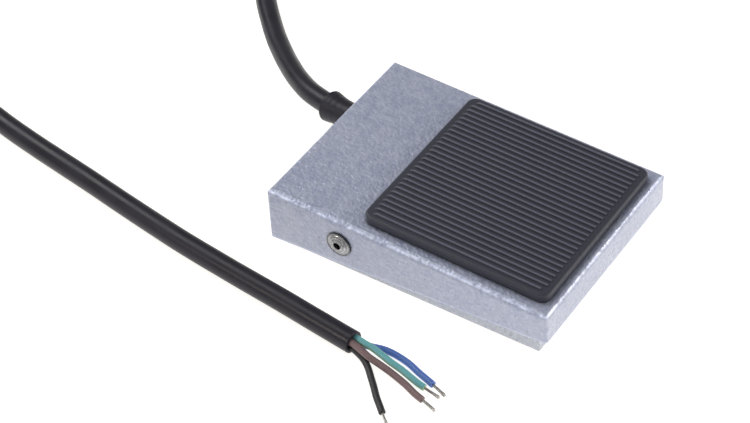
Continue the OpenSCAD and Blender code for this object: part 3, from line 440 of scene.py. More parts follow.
# Strain relief: a collar in the base's rear wall, and the bent boot round the cable outside it
BOOT_DIAMETER = 11.2
BOOT_STATIONS = [0, 0.05, 0.1, 0.2, 0.33, 0.46, 0.6, 0.73, 0.84, 0.9, 0.9334, 0.95, 0.9667, 0.9834, 1]
BOOT_RADII = [1.02, 1.02, 1, 0.95, 0.9, 0.885, 0.9, 0.945, 1, 1.035, 1.05, 0.97, 0.89, 0.81, 0.73]
BOOT_STEPS = 60
BOOT_SIDES = 40
NECK_RADIUS = 5.0
NOSE_LENGTH = 2.0
NOSE_CHAMFER = 0.4
FLANGE_RADIUS = 6.4
FLANGE_THICKNESS = 2.0
FLANGE_CHAMFER = 0.2
FLANGE_BACK = -SHEET
FLANGE_FRONT = FLANGE_BACK - FLANGE_THICKNESS
NOSE_END = FLANGE_FRONT - NOSE_LENGTH
COLLAR = [  # half section: distance behind the rear wall's outer face, radius
    (NOSE_END, NECK_RADIUS - NOSE_CHAMFER), (NOSE_END + NOSE_CHAMFER, NECK_RADIUS),
    (FLANGE_FRONT, NECK_RADIUS), (FLANGE_FRONT, FLANGE_RADIUS - FLANGE_CHAMFER),
    (FLANGE_FRONT + FLANGE_CHAMFER, FLANGE_RADIUS), (FLANGE_BACK - FLANGE_CHAMFER, FLANGE_RADIUS),
    (FLANGE_BACK, FLANGE_RADIUS - FLANGE_CHAMFER), (FLANGE_BACK, NECK_RADIUS), (0, NECK_RADIUS),
]
boot_rings = [ring((GLAND + BACKWARD * y) * MM, BACKWARD, r * MM, BOOT_SIDES) for y, r in COLLAR]
for i in range(BOOT_STEPS + 1):
    share = i / BOOT_STEPS
    radius = eased_value(BOOT_STATIONS, BOOT_RADII, share) * BOOT_DIAMETER / 2
    along = share * BOOT_LENGTH
    boot_rings.append(ring(boot_point(along) * MM, boot_direction(along), radius * MM, BOOT_SIDES))
boot = loft("strain_relief_boot", boot_rings)

# Ribbed rubber pad
PAD_WIDTH = 70.6
PAD_LENGTH = 71.2
PAD_FRONT_MARGIN = 3.0
PAD_FRONT = -COVER_LENGTH / 2 + PAD_FRONT_MARGIN
PAD_BACK = PAD_FRONT + PAD_LENGTH
PAD_THICK = 3.6
PAD_CORNER = 3.5
PAD_EDGE = 0.9
PAD_LOWER_EDGE = [(0.5, 0), (0.15, 0.05), (0, 0.3)]  # inset, height
PAD_TOP_INSET = 0.6
CORNER_STEPS = 10
EDGE_STEPS = 8
RIBS = 28
RIB_PITCH = 2.42
RIB_WIDTH = 1.2
RIB_HEIGHT = 0.6
RIB_SINK = 0.06
RIB_FLATNESS = 2.6
RIB_STEEPNESS = 0.62
RIB_SIDE_ROOM = 0.3
RIB_SHARES = [0.35, 0.6, 0.78, 0.9, 0.97, 1.0]
RIB_ACROSS = [*(-share for share in reversed(RIB_SHARES)), 0, *RIB_SHARES]
FRONT_BORDER = 2.4
BACK_BORDER = 1.6
FRONT_END = 0.35
FRONT_STEPS = [0.0, 0.03, 0.08, 0.16, 0.28, FRONT_END]
BACK_END = 2.2
BACK_STEPS = 10
STRAIGHT_STEPS = 16


def on_top(x, y, z):
    """A point placed on the cover's sloping top, in metres."""
    cosine, sine = math.cos(SLOPE), math.sin(SLOPE)
    return Vector((x, y * cosine - z * sine, TOP + y * sine + z * cosine)) * MM


def pad_outline(inset, z):
    """The pad's outline with its rounded corners, drawn in by inset and raised by z."""
    r = PAD_CORNER - inset
    x, front, back = PAD_WIDTH / 2 - PAD_CORNER, PAD_FRONT + PAD_CORNER, PAD_BACK - PAD_CORNER
    outline = []
    for middle_x, middle_y, start in ((x, front, -90), (x, back, 0), (-x, back, 90), (-x, front, 180)):
        for k in range(CORNER_STEPS + 1):
            a = math.radians(start + 90 * k / CORNER_STEPS)
            outline.append(on_top(middle_x + r * math.cos(a), middle_y + r * math.sin(a), z))
    return outline


def pad_slab():
    """Rings from the slab's lower edge over its rounded upper edge to its flat face."""
    rings = [pad_outline(inset, z) for inset, z in PAD_LOWER_EDGE]
    rings.append(pad_outline(0, PAD_THICK - PAD_EDGE))
    for k in range(1, EDGE_STEPS + 1):
        a = math.pi / 2 * k / EDGE_STEPS
        rings.append(pad_outline(PAD_EDGE * (1 - math.cos(a)), PAD_THICK - PAD_EDGE * (1 - math.sin(a))))
    rings.append(pad_outline(PAD_EDGE + PAD_TOP_INSET, PAD_THICK))
    return rings


def rib_shape(t):
    """Share of a rib's height across its width, t from -1 to 1: a round top and steep sides."""
    return max(0.0, 1 - abs(t) ** RIB_FLATNESS) ** RIB_STEEPNESS


def rib_stations(x):
    """Places along the rib at x with their shares of its height: a blunt front end, a long back end."""
    inner = PAD_CORNER - FRONT_BORDER
    beyond = max(0.0, abs(x) + RIB_SIDE_ROOM - (PAD_WIDTH / 2 - PAD_CORNER))
    short = inner - math.sqrt(max(0.0, inner * inner - min(beyond, inner) ** 2))
    front, back = PAD_FRONT + FRONT_BORDER + short, PAD_BACK - BACK_BORDER - short
    straight = back - front - FRONT_END - BACK_END
    stations = [(front + d, max(0.0, 1 - (1 - d / FRONT_END) ** 2) ** 0.5) for d in FRONT_STEPS]
    for k in range(1, STRAIGHT_STEPS + 1):
        stations.append((front + FRONT_END + straight * k / STRAIGHT_STEPS, 1.0))
    for k in range(1, BACK_STEPS + 1):
        height = 0.5 + 0.5 * math.cos(math.pi * k / BACK_STEPS)
        stations.append((back - BACK_END + BACK_END * k / BACK_STEPS, height))
    return stations


def rib_faces(base, count):
    """Faces of a rib with count rows of points from base: its shell, then its flat underside."""
    width = len(RIB_ACROSS)
    last = count - 2
    faces = []
    for j in range(count - 1):
        for k in range(width - 1):
            a = base + j * width + k
            faces.append((a, a + 1, a + width + 1, a + width))
    # The rows at the rib's two ends are straight, and the underside takes in all of their points
    for j in range(count - 1):
        near, far = base + j * width, base + (j + 1) * width
        near_row = range(near + width - 1, near - 1, -1) if j == 0 else (near + width - 1, near)
        far_row = range(far, far + width) if j == last else (far, far + width - 1)
        faces.append((*near_row, *far_row))
    return faces


def pad_mesh():
    slab = pad_slab()
    points = [p for outline in slab for p in outline]
    faces = skin_faces(len(slab), len(slab[0]))
    for i in range(RIBS):
        x = (i - (RIBS - 1) / 2) * RIB_PITCH
        stations = rib_stations(x)
        faces.extend(rib_faces(len(points), len(stations)))
        for y, height in stations:
            for t in RIB_ACROSS:
                z = PAD_THICK - RIB_SINK + (RIB_HEIGHT + RIB_SINK) * height * rib_shape(t)
                points.append(on_top(x + t * RIB_WIDTH / 2, y, z))
    return make_piece("ribbed_pad", points, faces)


pad = pad_mesh()

# Return spring, with its two end turns wound closer
SPRING_Y = -25.0
SPRING_BOTTOM = 3.75
SPRING_WIRE = 1.1
SPRING_RADIUS = 4.9
SPRING_SEAT = 1.0
SPRING_SEAT_GAP = 0.05
SPRING_END_GAP = 0.45
ACTIVE_TURNS = 5
SPRING_STEPS = 28
SPRING_SIDES = 10
ROOF_AT_SPRING = TOP + SPRING_Y * math.tan(SLOPE) - SHEET / math.cos(SLOPE)
SEAT_FALL = (SPRING_RADIUS + SPRING_WIRE / 2) * math.tan(SLOPE)
SPRING_TOP = ROOF_AT_SPRING - SPRING_SEAT - SEAT_FALL - SPRING_SEAT_GAP
END_PITCH = SPRING_WIRE + SPRING_END_GAP
SPRING_PITCH = (SPRING_TOP - SPRING_BOTTOM - SPRING_WIRE - 2 * END_PITCH) / ACTIVE_TURNS


def spring_height(t):
    """Height of the wire's middle after t turns."""
    return (
        SPRING_BOTTOM + SPRING_WIRE / 2
        + END_PITCH * min(t, 1)
        + SPRING_PITCH * min(max(t - 1, 0), ACTIVE_TURNS)
        + END_PITCH * max(t - 1 - ACTIVE_TURNS, 0))


spring_path = []
for i in range((ACTIVE_TURNS + 2) * SPRING_STEPS + 1):
    t = i / SPRING_STEPS
    x = SPRING_RADIUS * math.cos(2 * math.pi * t)
    y = SPRING_Y + SPRING_RADIUS * math.sin(2 * math.pi * t)
    spring_path.append(mm(x, y, spring_height(t)))
spring = tube("spring_wire", spring_path, SPRING_WIRE / 2 * MM, SPRING_SIDES)

# Cable's end inside the base, and its cores, which run to the switch's terminals and the earth tag
SHEATH_START = BASE_BACK - SHEET - FLANGE_THICKNESS - NOSE_LENGTH
SHEATH_LENGTH = 11.0
SHEATH_END = SHEATH_START - SHEATH_LENGTH
SHEATH_RINGS = (0.0, 4.0, 9.0, SHEATH_LENGTH)
INNER_CORE_SIDES = 14
SWITCH_X = -12.0
SWITCH_Y = -2.0
TERMINAL_WIDTH = 3.2
TERMINAL_SPACING = 7.3
SLEEVE_WALL = 0.4
SLEEVE_CLEARANCE = 0.1
SLEEVE_LENGTH = 6.0
SLEEVE_GAP = 0.2
SLEEVE_RADIUS = CORE / 2 + SLEEVE_CLEARANCE + SLEEVE_WALL
WIRE_X = SWITCH_X + TERMINAL_WIDTH / 2
WIRE_Z = FLOOR_TOP + SLEEVE_RADIUS + SLEEVE_CLEARANCE
SLEEVE_MIDDLE = Vector((SLEEVE_LENGTH / 2, 0, 0))
SLEEVE_RUN = Vector((SLEEVE_LENGTH + 2 * SLEEVE_GAP, 0, 0))
TAG_X = 28.0
TAG_FROM_PIVOT = 13.6
TAG_RADIUS = 4.0
TAG_NECK_LENGTH = 2.0
TAG_BARREL_LENGTH = 5.0
TAG_BARREL_INSIDE = 2.0
TAG_BARREL_WALL = 0.5
TAG_BARREL_RADIUS = CORE / 2 + SLEEVE_CLEARANCE + TAG_BARREL_WALL
TAG_BARREL_Y = PIVOT_Y - TAG_FROM_PIVOT + TAG_RADIUS + TAG_NECK_LENGTH
TAG_BARREL_Z = FLOOR_TOP + TAG_BARREL_RADIUS + SLEEVE_CLEARANCE
EARTH_REACH = 9.0
EARTH_SWING = 8.0

sheath_path = [mm(GLAND_X, SHEATH_START - distance, GLAND_Z) for distance in SHEATH_RINGS]
sheath = tube("inner_jacket", sheath_path, CORD / 2 * MM, JACKET_SIDES)


def core_seat(side, up):
    return Vector((GLAND_X + side * CORE_SPACING / 2, SHEATH_END, GLAND_Z + up * CORE_SPACING / 2))


def inner_core(name, line, last):
    """A core that leaves the sheath towards the front, through the points of line."""
    return tube(name, [p * MM for p in line], CORE / 2 * MM, INNER_CORE_SIDES, -BACKWARD, last)


def wire_to_terminal(name, side, up, terminal_y, reach, drop, swing):
    start = core_seat(side, up)
    end = Vector((WIRE_X, terminal_y, WIRE_Z))
    mouth = end + SLEEVE_RUN
    line = bend(start, start + Vector((0, -reach, -drop)), mouth + Vector((swing, 0, 0)), mouth)
    return inner_core(name, [*line, end + SLEEVE_MIDDLE, end], Vector((-1, 0, 0)))


def wire_to_earth(name, side, up):
    start = core_seat(side, up)
    end = Vector((TAG_X, TAG_BARREL_Y, TAG_BARREL_Z))
    mouth = end + BACKWARD * (TAG_BARREL_LENGTH + SLEEVE_GAP)
    line = bend(start, start - BACKWARD * EARTH_REACH, mouth + BACKWARD * EARTH_SWING, mouth)
    return inner_core(name, [*line, end + BACKWARD * TAG_BARREL_INSIDE, end], -BACKWARD)


inner_wires = {
    "brown": wire_to_terminal("wire_brown", -1, 1, SWITCH_Y + TERMINAL_SPACING, reach=14, drop=0, swing=12),
    "black": wire_to_terminal("wire_black", -1, -1, SWITCH_Y, reach=14, drop=5, swing=12),
    "blue": wire_to_terminal("wire_blue", 1, -1, SWITCH_Y - TERMINAL_SPACING, reach=20, drop=5, swing=16),
    "green_yellow": wire_to_earth("wire_green_yellow", 1, 1),
}

# Parts of materials. Sizes are in metres, and a texture's scale is in steps per metre
MIX_FACTOR = 0
MIX_COLOURS = (6, 7)
MIX_RESULT = 2
MIDDLE_BAND = (0.3, 0.7)


def node(tree, kind, **values):
    """A node with its settings and the plain values of its inputs, both by name."""
    made = tree.nodes.new(kind)
    for key, value in values.items():
        if hasattr(made, key):
            setattr(made, key, value)
        else:
            made.inputs[key.replace("_", " ")].default_value = value
    return made


def new_material(name, **values):
    """A material with one shader, and the values that are the same all over it."""
    material = bpy.data.materials.new(name)
    material.use_nodes = True
    tree = material.node_tree
    tree.nodes.clear()
    output = tree.nodes.new("ShaderNodeOutputMaterial")
    shader = node(tree, "ShaderNodeBsdfPrincipled", **values)
    tree.links.new(shader.outputs[0], output.inputs[0])
    return material, tree, shader


def coordinates(tree, scale=(1, 1, 1)):
    mapping = node(tree, "ShaderNodeMapping", Scale=scale)
    tree.links.new(node(tree, "ShaderNodeTexCoord").outputs["Object"], mapping.inputs["Vector"])
    return mapping.outputs[0]


def axes(tree, which="Object"):
    """The X, Y and Z of a place, of a normal or of a UV."""
    split = node(tree, "ShaderNodeSeparateXYZ")
    tree.links.new(node(tree, "ShaderNodeTexCoord").outputs[which], split.inputs[0])
    return split.outputs


def noise(tree, vector, scale, detail=3.0, roughness=0.55):
    made = node(tree, "ShaderNodeTexNoise", Scale=scale, Detail=detail, Roughness=roughness)
    tree.links.new(vector, made.inputs["Vector"])
    return made.outputs["Fac"]


def ramp(tree, factor, stops):
    made = node(tree, "ShaderNodeValToRGB")
    elements = made.color_ramp.elements
    while len(elements) < len(stops):
        elements.new(0.5)
    for element, (position, colour) in zip(elements, stops):
        element.position = position
        element.color = (*colour, 1)
    tree.links.new(factor, made.inputs["Fac"])
    return made.outputs["Color"]


def remap(tree, value, source, target):
    """Takes a value from the range of source to that of target, and no further."""
    made = node(tree, "ShaderNodeMapRange")
    for socket, end in zip(("From Min", "From Max", "To Min", "To Max"), (*source, *target)):
        made.inputs[socket].default_value = end
    tree.links.new(value, made.inputs["Value"])
    return made.outputs[0]


def math_node(tree, operation, *values):
    """One step of arithmetic on numbers and other nodes' outputs."""
    made = node(tree, "ShaderNodeMath", operation=operation)
    for socket, value in zip(made.inputs, values):
        if isinstance(value, (int, float)):
            socket.default_value = value
        else:
            tree.links.new(value, socket)
    return made.outputs[0]


def tinted(colour, *factors):
    return tuple(min(1.0, c * f) for c, f in zip(colour, factors))


def scaled(colour, factor):
    return tinted(colour, factor, factor, factor)


def multiplied(tree, colour, factor):
    mixer = node(tree, "ShaderNodeMix", data_type="RGBA", blend_type="MULTIPLY")
    mixer.inputs[MIX_FACTOR].default_value = 1.0
    for socket, value in zip(MIX_COLOURS, (colour, factor)):
        tree.links.new(value, mixer.inputs[socket])
    return mixer.outputs[MIX_RESULT]


def painted_crevice_shade(tree, colour, reach, dark):
    """Paints shade into a colour: darkens it where nearby surfaces shut the light out, as in a seam or
    groove.
    """
    shelter = node(tree, "ShaderNodeAmbientOcclusion", samples=8, Distance=reach)
    return multiplied(tree, colour, remap(tree, shelter.outputs["AO"], (0.35, 0.95), (dark, 1.0)))


def finish(tree, shader, colour, roughness, bumps):
    """Gives a shader its colour, roughness and bumps: height, strength and depth of each."""
    tree.links.new(colour, shader.inputs["Base Color"])
    tree.links.new(roughness, shader.inputs["Roughness"])
    socket = shader.inputs["Normal"]
    for height, strength, depth in reversed(bumps):
        made = node(tree, "ShaderNodeBump", Strength=strength, Distance=depth)
        tree.links.new(height, made.inputs["Height"])
        tree.links.new(made.outputs[0], socket)
        socket = made.inputs["Normal"]


# Materials
SKIRT_MIDDLE = (FOOT_PROUD + (SKIRT_BACK_RISE + SKIRT_FRONT_RISE) / 2) * MM
SKIRT_FALL = (SKIRT_FRONT_RISE - SKIRT_BACK_RISE) / COVER_LENGTH
PAINT_CELLS = 700.0
PAINT_WARP = (0.0016, 0.0016, 0.0016)


def skirt_distance(tree):
    """Height above the lower edge of the cover's skirt."""
    place = axes(tree)
    slope = math_node(tree, "MULTIPLY_ADD", place["Y"], SKIRT_FALL, place["Z"])
    return math_node(tree, "SUBTRACT", slope, SKIRT_MIDDLE)


def hammer_paint(name, base, edge, edge_shade):
    """Grey-blue hammertone enamel: soft mottles, fine bright and dark flecks (stronger on upright faces, as
    painted glints), shallow dimples, and a painted highlight along the folds. Over the heights of edge, above
    the skirt's lower edge, its brightness goes from the first to the second of the last argument's values: a
    painted highlight on the cover's lower skirt edge, and painted shade on the base just below it."""
    material, tree, shader = new_material(name, Metallic=0.2, Coat_Weight=0.8, Coat_Roughness=0.13)
    place = coordinates(tree)
    wobble = node(tree, "ShaderNodeTexNoise", Scale=PAINT_CELLS, Detail=2.0)
    tree.links.new(place, wobble.inputs["Vector"])
    warp = node(tree, "ShaderNodeVectorMath", operation="MULTIPLY_ADD")
    tree.links.new(wobble.outputs["Color"], warp.inputs[0])
    warp.inputs[1].default_value = PAINT_WARP
    tree.links.new(place, warp.inputs[2])
    cells = node(tree, "ShaderNodeTexVoronoi", feature="SMOOTH_F1", Scale=PAINT_CELLS, Smoothness=0.4)
    tree.links.new(warp.outputs[0], cells.inputs["Vector"])
    mottle = noise(tree, place, scale=340, roughness=0.6)
    broad = noise(tree, place, scale=60, detail=2.0)
    shade = math_node(tree, "MULTIPLY_ADD", cells.outputs["Distance"], 0.45, mottle)
    shade = math_node(tree, "MULTIPLY_ADD", broad, 0.3, shade)
    soft = ramp(tree, shade, [
        (0.45, tinted(base, 0.78, 0.81, 0.9)), (0.68, tinted(base, 0.95, 0.955, 0.975)),
        (0.85, tinted(base, 1.05, 1.045, 1.02)), (1.0, tinted(base, 1.16, 1.14, 1.08))])

    # The paint's own bright and dark flecks, made much stronger on upright faces than on level ones: partly
    # real flecks, partly painted glints.
    grain = noise(tree, place, scale=1100, detail=4.0, roughness=0.75)
    bright = remap(tree, grain, (0.6, 0.7), (0.0, 0.5))
    dark = remap(tree, grain, (0.4, 0.3), (0.0, 0.32))
    level = math_node(tree, "ABSOLUTE", axes(tree, "Normal")["Z"])
    upright_glint_strength = remap(tree, level, (0.2, 0.95), (2.3, 0.35))
    flecks = math_node(tree, "SUBTRACT", bright, dark)
    factor = math_node(tree, "MULTIPLY_ADD", flecks, upright_glint_strength, 1.0)

    # Level times upright is largest halfway round a fold, where the one turns into the other. There the
    # colour is lightened, broken up by the mottle: a painted highlight along the folds.
    level_square = math_node(tree, "MULTIPLY", level, level)
    upright = math_node(tree, "SQRT", math_node(tree, "SUBTRACT", 1.0, level_square))
    fold = remap(tree, math_node(tree, "MULTIPLY", level, upright), (0.41, 0.48), (0.0, 1.0))
    painted_fold_highlight = remap(tree, mottle, (0.4, 0.56), (0.12, 0.75))
    factor = math_node(tree, "MULTIPLY_ADD", fold, painted_fold_highlight, factor)

    # Painted light and shade at the skirt's lower edge: a highlight on the cover's edge, shade on the base
    # just below it
    factor = math_node(tree, "MULTIPLY", factor, remap(tree, skirt_distance(tree), edge, edge_shade))
    # Painted shade in seams, round the rivets and on the base just under the skirt
    colour = painted_crevice_shade(tree, multiplied(tree, soft, factor), reach=0.0022, dark=0.4)
    roughness = remap(tree, mottle, MIDDLE_BAND, (0.3, 0.46))
    dimples = (cells.outputs["Distance"], 0.6, 0.0005)
    finish(tree, shader, colour, roughness, [dimples, (grain, 0.35, 0.00012)])
    return material


def rib_height(tree):
    """Height above the face that the pad's ribs stand on."""
    place = axes(tree)
    rise = math_node(tree, "MULTIPLY_ADD", place["Y"], -math.tan(SLOPE), place["Z"])
    return math_node(tree, "SUBTRACT", rise, (TOP + PAD_THICK / math.cos(SLOPE)) * MM)


def pad_rubber(low, high):
    """Ribbed black rubber, with painted light and shade: paler along the ribs' tops, darker between the ribs
    and in the grooves.
    """
    material, tree, shader = new_material("pad_rubber", Specular_IOR_Level=0.35)
    place = coordinates(tree)
    fine = noise(tree, place, scale=2200, roughness=0.7)
    broad = noise(tree, place, scale=90)
    # Painted highlight and shade: the colour follows height above the pad's face, from low between the ribs
    # to high on their tops, with fine grain mixed in
    height = remap(tree, rib_height(tree), (0.0002, 0.00058), (0.0, 1.0))
    grain_and_painted_rib_light = math_node(tree, "MULTIPLY_ADD", fine, 0.5, height)
    colour = ramp(tree, remap(tree, grain_and_painted_rib_light, (0.0, 1.5), (0.0, 1.0)), [
        (0.12, scaled(low, 0.8)), (0.3, low), (0.75, high), (0.95, scaled(high, 1.3))])
    # Painted shade in the grooves between the ribs
    colour = painted_crevice_shade(tree, colour, reach=0.0008, dark=0.75)
    finish(tree, shader, colour, remap(tree, broad, MIDDLE_BAND, (0.34, 0.46)), [(fine, 0.4, 0.00006)])
    return material


def rubber(name, base, roughness, grain=2600.0, bump=0.25, gloss=0.5):
    material, tree, shader = new_material(name, Specular_IOR_Level=gloss)
    place = coordinates(tree)
    fine = noise(tree, place, grain)
    broad = noise(tree, place, scale=90)
    colour = ramp(tree, broad, [(0.35, scaled(base, 0.88)), (0.65, scaled(base, 1.12))])
    worn = remap(tree, broad, MIDDLE_BAND, (roughness - 0.06, roughness + 0.08))
    finish(tree, shader, colour, worn, [(fine, bump, 0.00005)])
    return material


def metal(name, base, roughness, scratch=(40, 40, 900)):
    """Metal with fine scratches, drawn out where scratch's scale is small."""
    material, tree, shader = new_material(name, Metallic=1.0)
    lines = noise(tree, coordinates(tree, scratch), scale=3.0, detail=5.0)
    patch = noise(tree, coordinates(tree), scale=300)
    colour = ramp(tree, patch, [(0.35, scaled(base, 0.86)), (0.65, scaled(base, 1.08))])
    worn = remap(tree, lines, MIDDLE_BAND, (roughness - 0.08, roughness + 0.12))
    finish(tree, shader, colour, worn, [(lines, 0.15, 0.00003), (patch, 0.1, 0.00003)])
    return material


TURNING_PITCH = 0.0011


def rivet_steel(name, base, rings):
    """Steel with turning marks round the rivets' axis, which lies along X, coloured in rings of painted light
    and shade: radius and brightness of each ring.
    """
    material, tree, shader = new_material(name, Metallic=1.0)
    place = axes(tree)
    across = math_node(tree, "SUBTRACT", place["Y"], PIVOT_Y * MM)
    above = math_node(tree, "SUBTRACT", place["Z"], PIVOT_Z * MM)
    square = math_node(tree, "MULTIPLY_ADD", across, across, math_node(tree, "MULTIPLY", above, above))
    radius = math_node(tree, "SQRT", square)
    edge = rings[-1][0]
    stops = [(r / edge, scaled(base, brightness)) for r, brightness in rings]
    painted_ring_shading = ramp(tree, remap(tree, radius, (0, edge), (0, 1)), stops)
    patch = noise(tree, coordinates(tree), scale=900)
    stained = multiplied(tree, painted_ring_shading, remap(tree, patch, (0.35, 0.65), (0.7, 1.15)))
    # Painted shade where the head meets the cover and in its hole
    colour = painted_crevice_shade(tree, stained, reach=0.0015, dark=0.3)
    wave = math_node(tree, "SINE", math_node(tree, "MULTIPLY", radius, 2 * math.pi / TURNING_PITCH))
    roughness = remap(tree, patch, MIDDLE_BAND, (0.2, 0.36))
    finish(tree, shader, colour, roughness, [(wave, 0.5, 0.00012), (patch, 0.2, 0.00004)])
    return material


def plastic(name, base, roughness):
    material, tree, shader = new_material(name)
    fine = noise(tree, coordinates(tree), scale=900)
    colour = ramp(tree, fine, [(0.3, scaled(base, 0.9)), (0.7, scaled(base, 1.1))])
    worn = remap(tree, fine, MIDDLE_BAND, (roughness - 0.05, roughness + 0.07))
    finish(tree, shader, colour, worn, [(fine, 0.15, 0.00004)])
    return material


def striped_core():
    """Earth core's insulation: teal, with a yellow-green stripe along two sides."""
    material, tree, shader = new_material("core_green_yellow")
    around = math_node(tree, "MULTIPLY_ADD", axes(tree, "UV")["Y"], 4 * math.pi, 1.0)
    stripe = remap(tree, math_node(tree, "SINE", around), (-1, 1), (0, 1))
    colour = ramp(tree, stripe, [
        (0.0, (0.13, 0.4, 0.43)), (0.5, (0.17, 0.46, 0.49)),
        (0.72, (0.24, 0.48, 0.36)), (1.0, (0.4, 0.53, 0.26))])
    fine = noise(tree, coordinates(tree), scale=900)
    finish(tree, shader, colour, remap(tree, fine, MIDDLE_BAND, (0.3, 0.42)), [(fine, 0.15, 0.00004)])
    return material


RIVET_GREY = (0.5, 0.5, 0.52)
# Painted light and shade in rings on the rivet heads: a dark hole, a bright dome and flange, a dark gap at
# the edge
RIVET_LIGHT_AND_SHADE_RINGS = [
    (0.0012, 0.3), (0.0018, 0.9), (0.0024, 0.55), (0.003, 1.0), (0.0034, 0.5), (0.0038, 1.0), (0.0043, 0.4),
    (0.0048, 0.2),
]
# Painted highlight on the mandrel's end, and painted shade in the bore round it
MANDREL_LIGHT_AND_SHADE_RINGS = [(0.0003, 1.3), (0.0006, 0.5), (0.0008, 0.06), (0.0014, 0.1)]

# The cover's paint gets a painted highlight along its skirt's lower edge
PAINT = hammer_paint("hammertone_paint", (0.37, 0.405, 0.55), edge=(0.0003, 0.0008), edge_shade=(1.3, 1.0))
# The base's paint gets painted shade just below the cover's skirt
BASE_PAINT = hammer_paint("base_paint", (0.4, 0.43, 0.52), edge=(-0.0016, -0.0002), edge_shade=(1.0, 0.6))
# The rubber's colour between the ribs, and the paler colour of the painted highlight on the rib tops
PAD_RUBBER = pad_rubber((0.052, 0.055, 0.075), (0.098, 0.104, 0.143))
FOOT_RUBBER = rubber("foot_rubber", (0.03, 0.03, 0.034), 0.6)
BOOT_RUBBER = rubber("boot_rubber", (0.0225, 0.0213, 0.031), 0.42, grain=1500.0, gloss=0.25)
JACKET = rubber("cable_jacket", (0.0205, 0.0192, 0.028), 0.36, grain=1200.0, bump=0.3, gloss=0.25)
STEEL = metal("zinc_steel", (0.62, 0.6, 0.57), 0.3)
SMALL_STEEL = metal("small_steel", (0.6, 0.59, 0.58), 0.28)
SPRING_STEEL = metal("spring_steel", (0.42, 0.42, 0.43), 0.3)
RIVET_STEEL = rivet_steel("rivet_steel", RIVET_GREY, RIVET_LIGHT_AND_SHADE_RINGS)
MANDREL_STEEL = rivet_steel("mandrel_steel", RIVET_GREY, MANDREL_LIGHT_AND_SHADE_RINGS)
TIN = metal("tinned_metal", (0.7, 0.68, 0.62), 0.25)
STRAND_TIN = metal("tinned_strand", (0.72, 0.7, 0.67), 0.25, (900, 900, 900))
CASE = plastic("black_plastic", (0.022, 0.022, 0.024), 0.45)
PALE = plastic("plunger_plastic", (0.62, 0.58, 0.48), 0.4)
CORE_MATERIALS = {
    "green_yellow": striped_core(),
    "blue": plastic("core_blue", (0.075, 0.165, 0.5), 0.35),
    "brown": plastic("core_brown", (0.19, 0.12, 0.125), 0.38),
    "black": plastic("core_black", (0.018, 0.017, 0.021), 0.5),
}
NODE_MATERIALS = {
    "pedal_cover": PAINT, "base_pan": BASE_PAINT, "rubber_feet": FOOT_RUBBER, "pivot_rivets": RIVET_STEEL,
    "rivet_mandrels": MANDREL_STEEL, "cover_striker": STEEL, "cover_spring_seat": STEEL, "spring_post": STEEL,
    "switch_bracket": STEEL, "bracket_rivets": SMALL_STEEL, "switch_case": CASE, "lever_pin": SMALL_STEEL,
    "switch_lever": STEEL, "switch_plunger": PALE, "switch_terminals": TIN, "terminal_sleeves": CASE,
    "switch_screws": STEEL, "switch_nuts": STEEL, "cable_tie": CASE, "earth_tag": TIN, "earth_washer": STEEL,
    "earth_screw": STEEL, "coil_ties": CASE,
}
for name, material in NODE_MATERIALS.items():
    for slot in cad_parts[name].material_slots:
        slot.material = material


def paint(piece, material):
    piece.data.materials.append(material)


# What each piece is, and what it moves with
paint(jacket, JACKET)
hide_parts("cord_lead", "cord_coil", "cord_free_end")
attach(jacket, "base")

paint(boot, BOOT_RUBBER)
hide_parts("strain_relief")
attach(boot, "base")

paint(pad, PAD_RUBBER)
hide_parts("tread_pad")
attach(pad, "cover")

for colour in TAILS:
    paint(cores[colour], CORE_MATERIALS[colour])
    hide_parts(f"tail_{colour}")
    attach(cores[colour], "base")
    paint(strands[colour], STRAND_TIN)
    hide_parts("tail_strands")
    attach(strands[colour], "base")

paint(spring, SPRING_STEEL)
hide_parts("return_spring")
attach(spring, "base")
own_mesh(spring)

paint(sheath, JACKET)
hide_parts("cable_sheath")
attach(sheath, "base")
for colour, wire in inner_wires.items():
    paint(wire, CORE_MATERIALS[colour])
    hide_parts("core_earth" if colour == "green_yellow" else f"core_{colour}")
    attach(wire, "base")

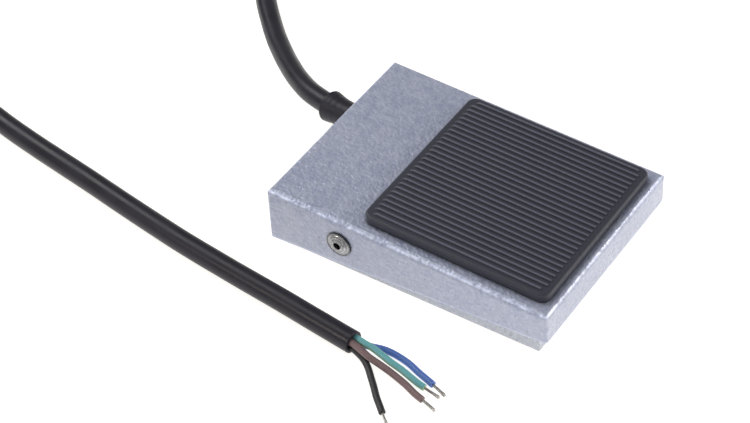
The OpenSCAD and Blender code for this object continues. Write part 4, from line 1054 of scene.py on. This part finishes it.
# Floor
FLOOR_REACH = 3
FLOOR_COLOUR = (0.5, 0.5, 0.5, 1)
FLOOR_GLOW = (1, 0.98, 0.945, 1)
floor_corners = [(x * FLOOR_REACH, y * FLOOR_REACH, 0) for x, y in ((-1, -1), (1, -1), (1, 1), (-1, 1))]
floor_mesh = bpy.data.meshes.new("floor")
floor_mesh.from_pydata(floor_corners, [], [(0, 1, 2, 3)])
floor = bpy.data.objects.new("floor", floor_mesh)
bpy.context.collection.objects.link(floor)
floor_material, _, _ = new_material(
    "floor", Base_Color=FLOOR_COLOUR, Roughness=0.9, Emission_Color=FLOOR_GLOW, Emission_Strength=0.88)
paint(floor, floor_material)

# Light
PART_MIDDLE = (0.0, 0.0, 0.01)
COVER_MIDDLE = (0.0, 0.05, 0.0)
COVER_BACK = (0.0, 0.05, 0.01)
WHITE = (1.0, 1.0, 1.0)
WARM = (1.0, 0.96, 0.9)
WORLD_STRENGTH = 0.3


def softbox(name, place, target, size, watts, colour):
    data = bpy.data.lights.new(name, "AREA")
    data.shape = "RECTANGLE"
    data.size, data.size_y = size
    data.energy = watts
    data.color = colour
    light = bpy.data.objects.new(name, data)
    bpy.context.collection.objects.link(light)
    light.location = place
    light.rotation_mode = "QUATERNION"
    light.rotation_quaternion = (Vector(target) - Vector(place)).to_track_quat("-Z", "Y")


softbox("front_box", (0.35, -1.1, 0.35), PART_MIDDLE, size=(0.9, 0.6), watts=5.3, colour=(1.0, 0.96, 0.88))
softbox("top_box", (-0.2, 0.3, 1.3), COVER_MIDDLE, size=(1.0, 0.5), watts=2.0, colour=WHITE)
softbox("back_box", (0.08, 1.05, 0.95), COVER_BACK, size=(0.6, 0.75), watts=7.8, colour=WHITE)
softbox("left_box", (-0.8, 0.6, 0.6), PART_MIDDLE, size=(0.14, 0.14), watts=1.9, colour=(1.0, 0.92, 0.8))
softbox("right_box", (0.75, -0.85, 0.5), PART_MIDDLE, size=(0.14, 0.14), watts=1.2, colour=WARM)

world = bpy.data.worlds.new("studio")
bpy.context.scene.world = world
world.use_nodes = True
background = world.node_tree.nodes["Background"]
background.inputs["Color"].default_value = (1, 1, 1, 1)
background.inputs["Strength"].default_value = WORLD_STRENGTH
bpy.context.scene.view_settings.view_transform = "Standard"
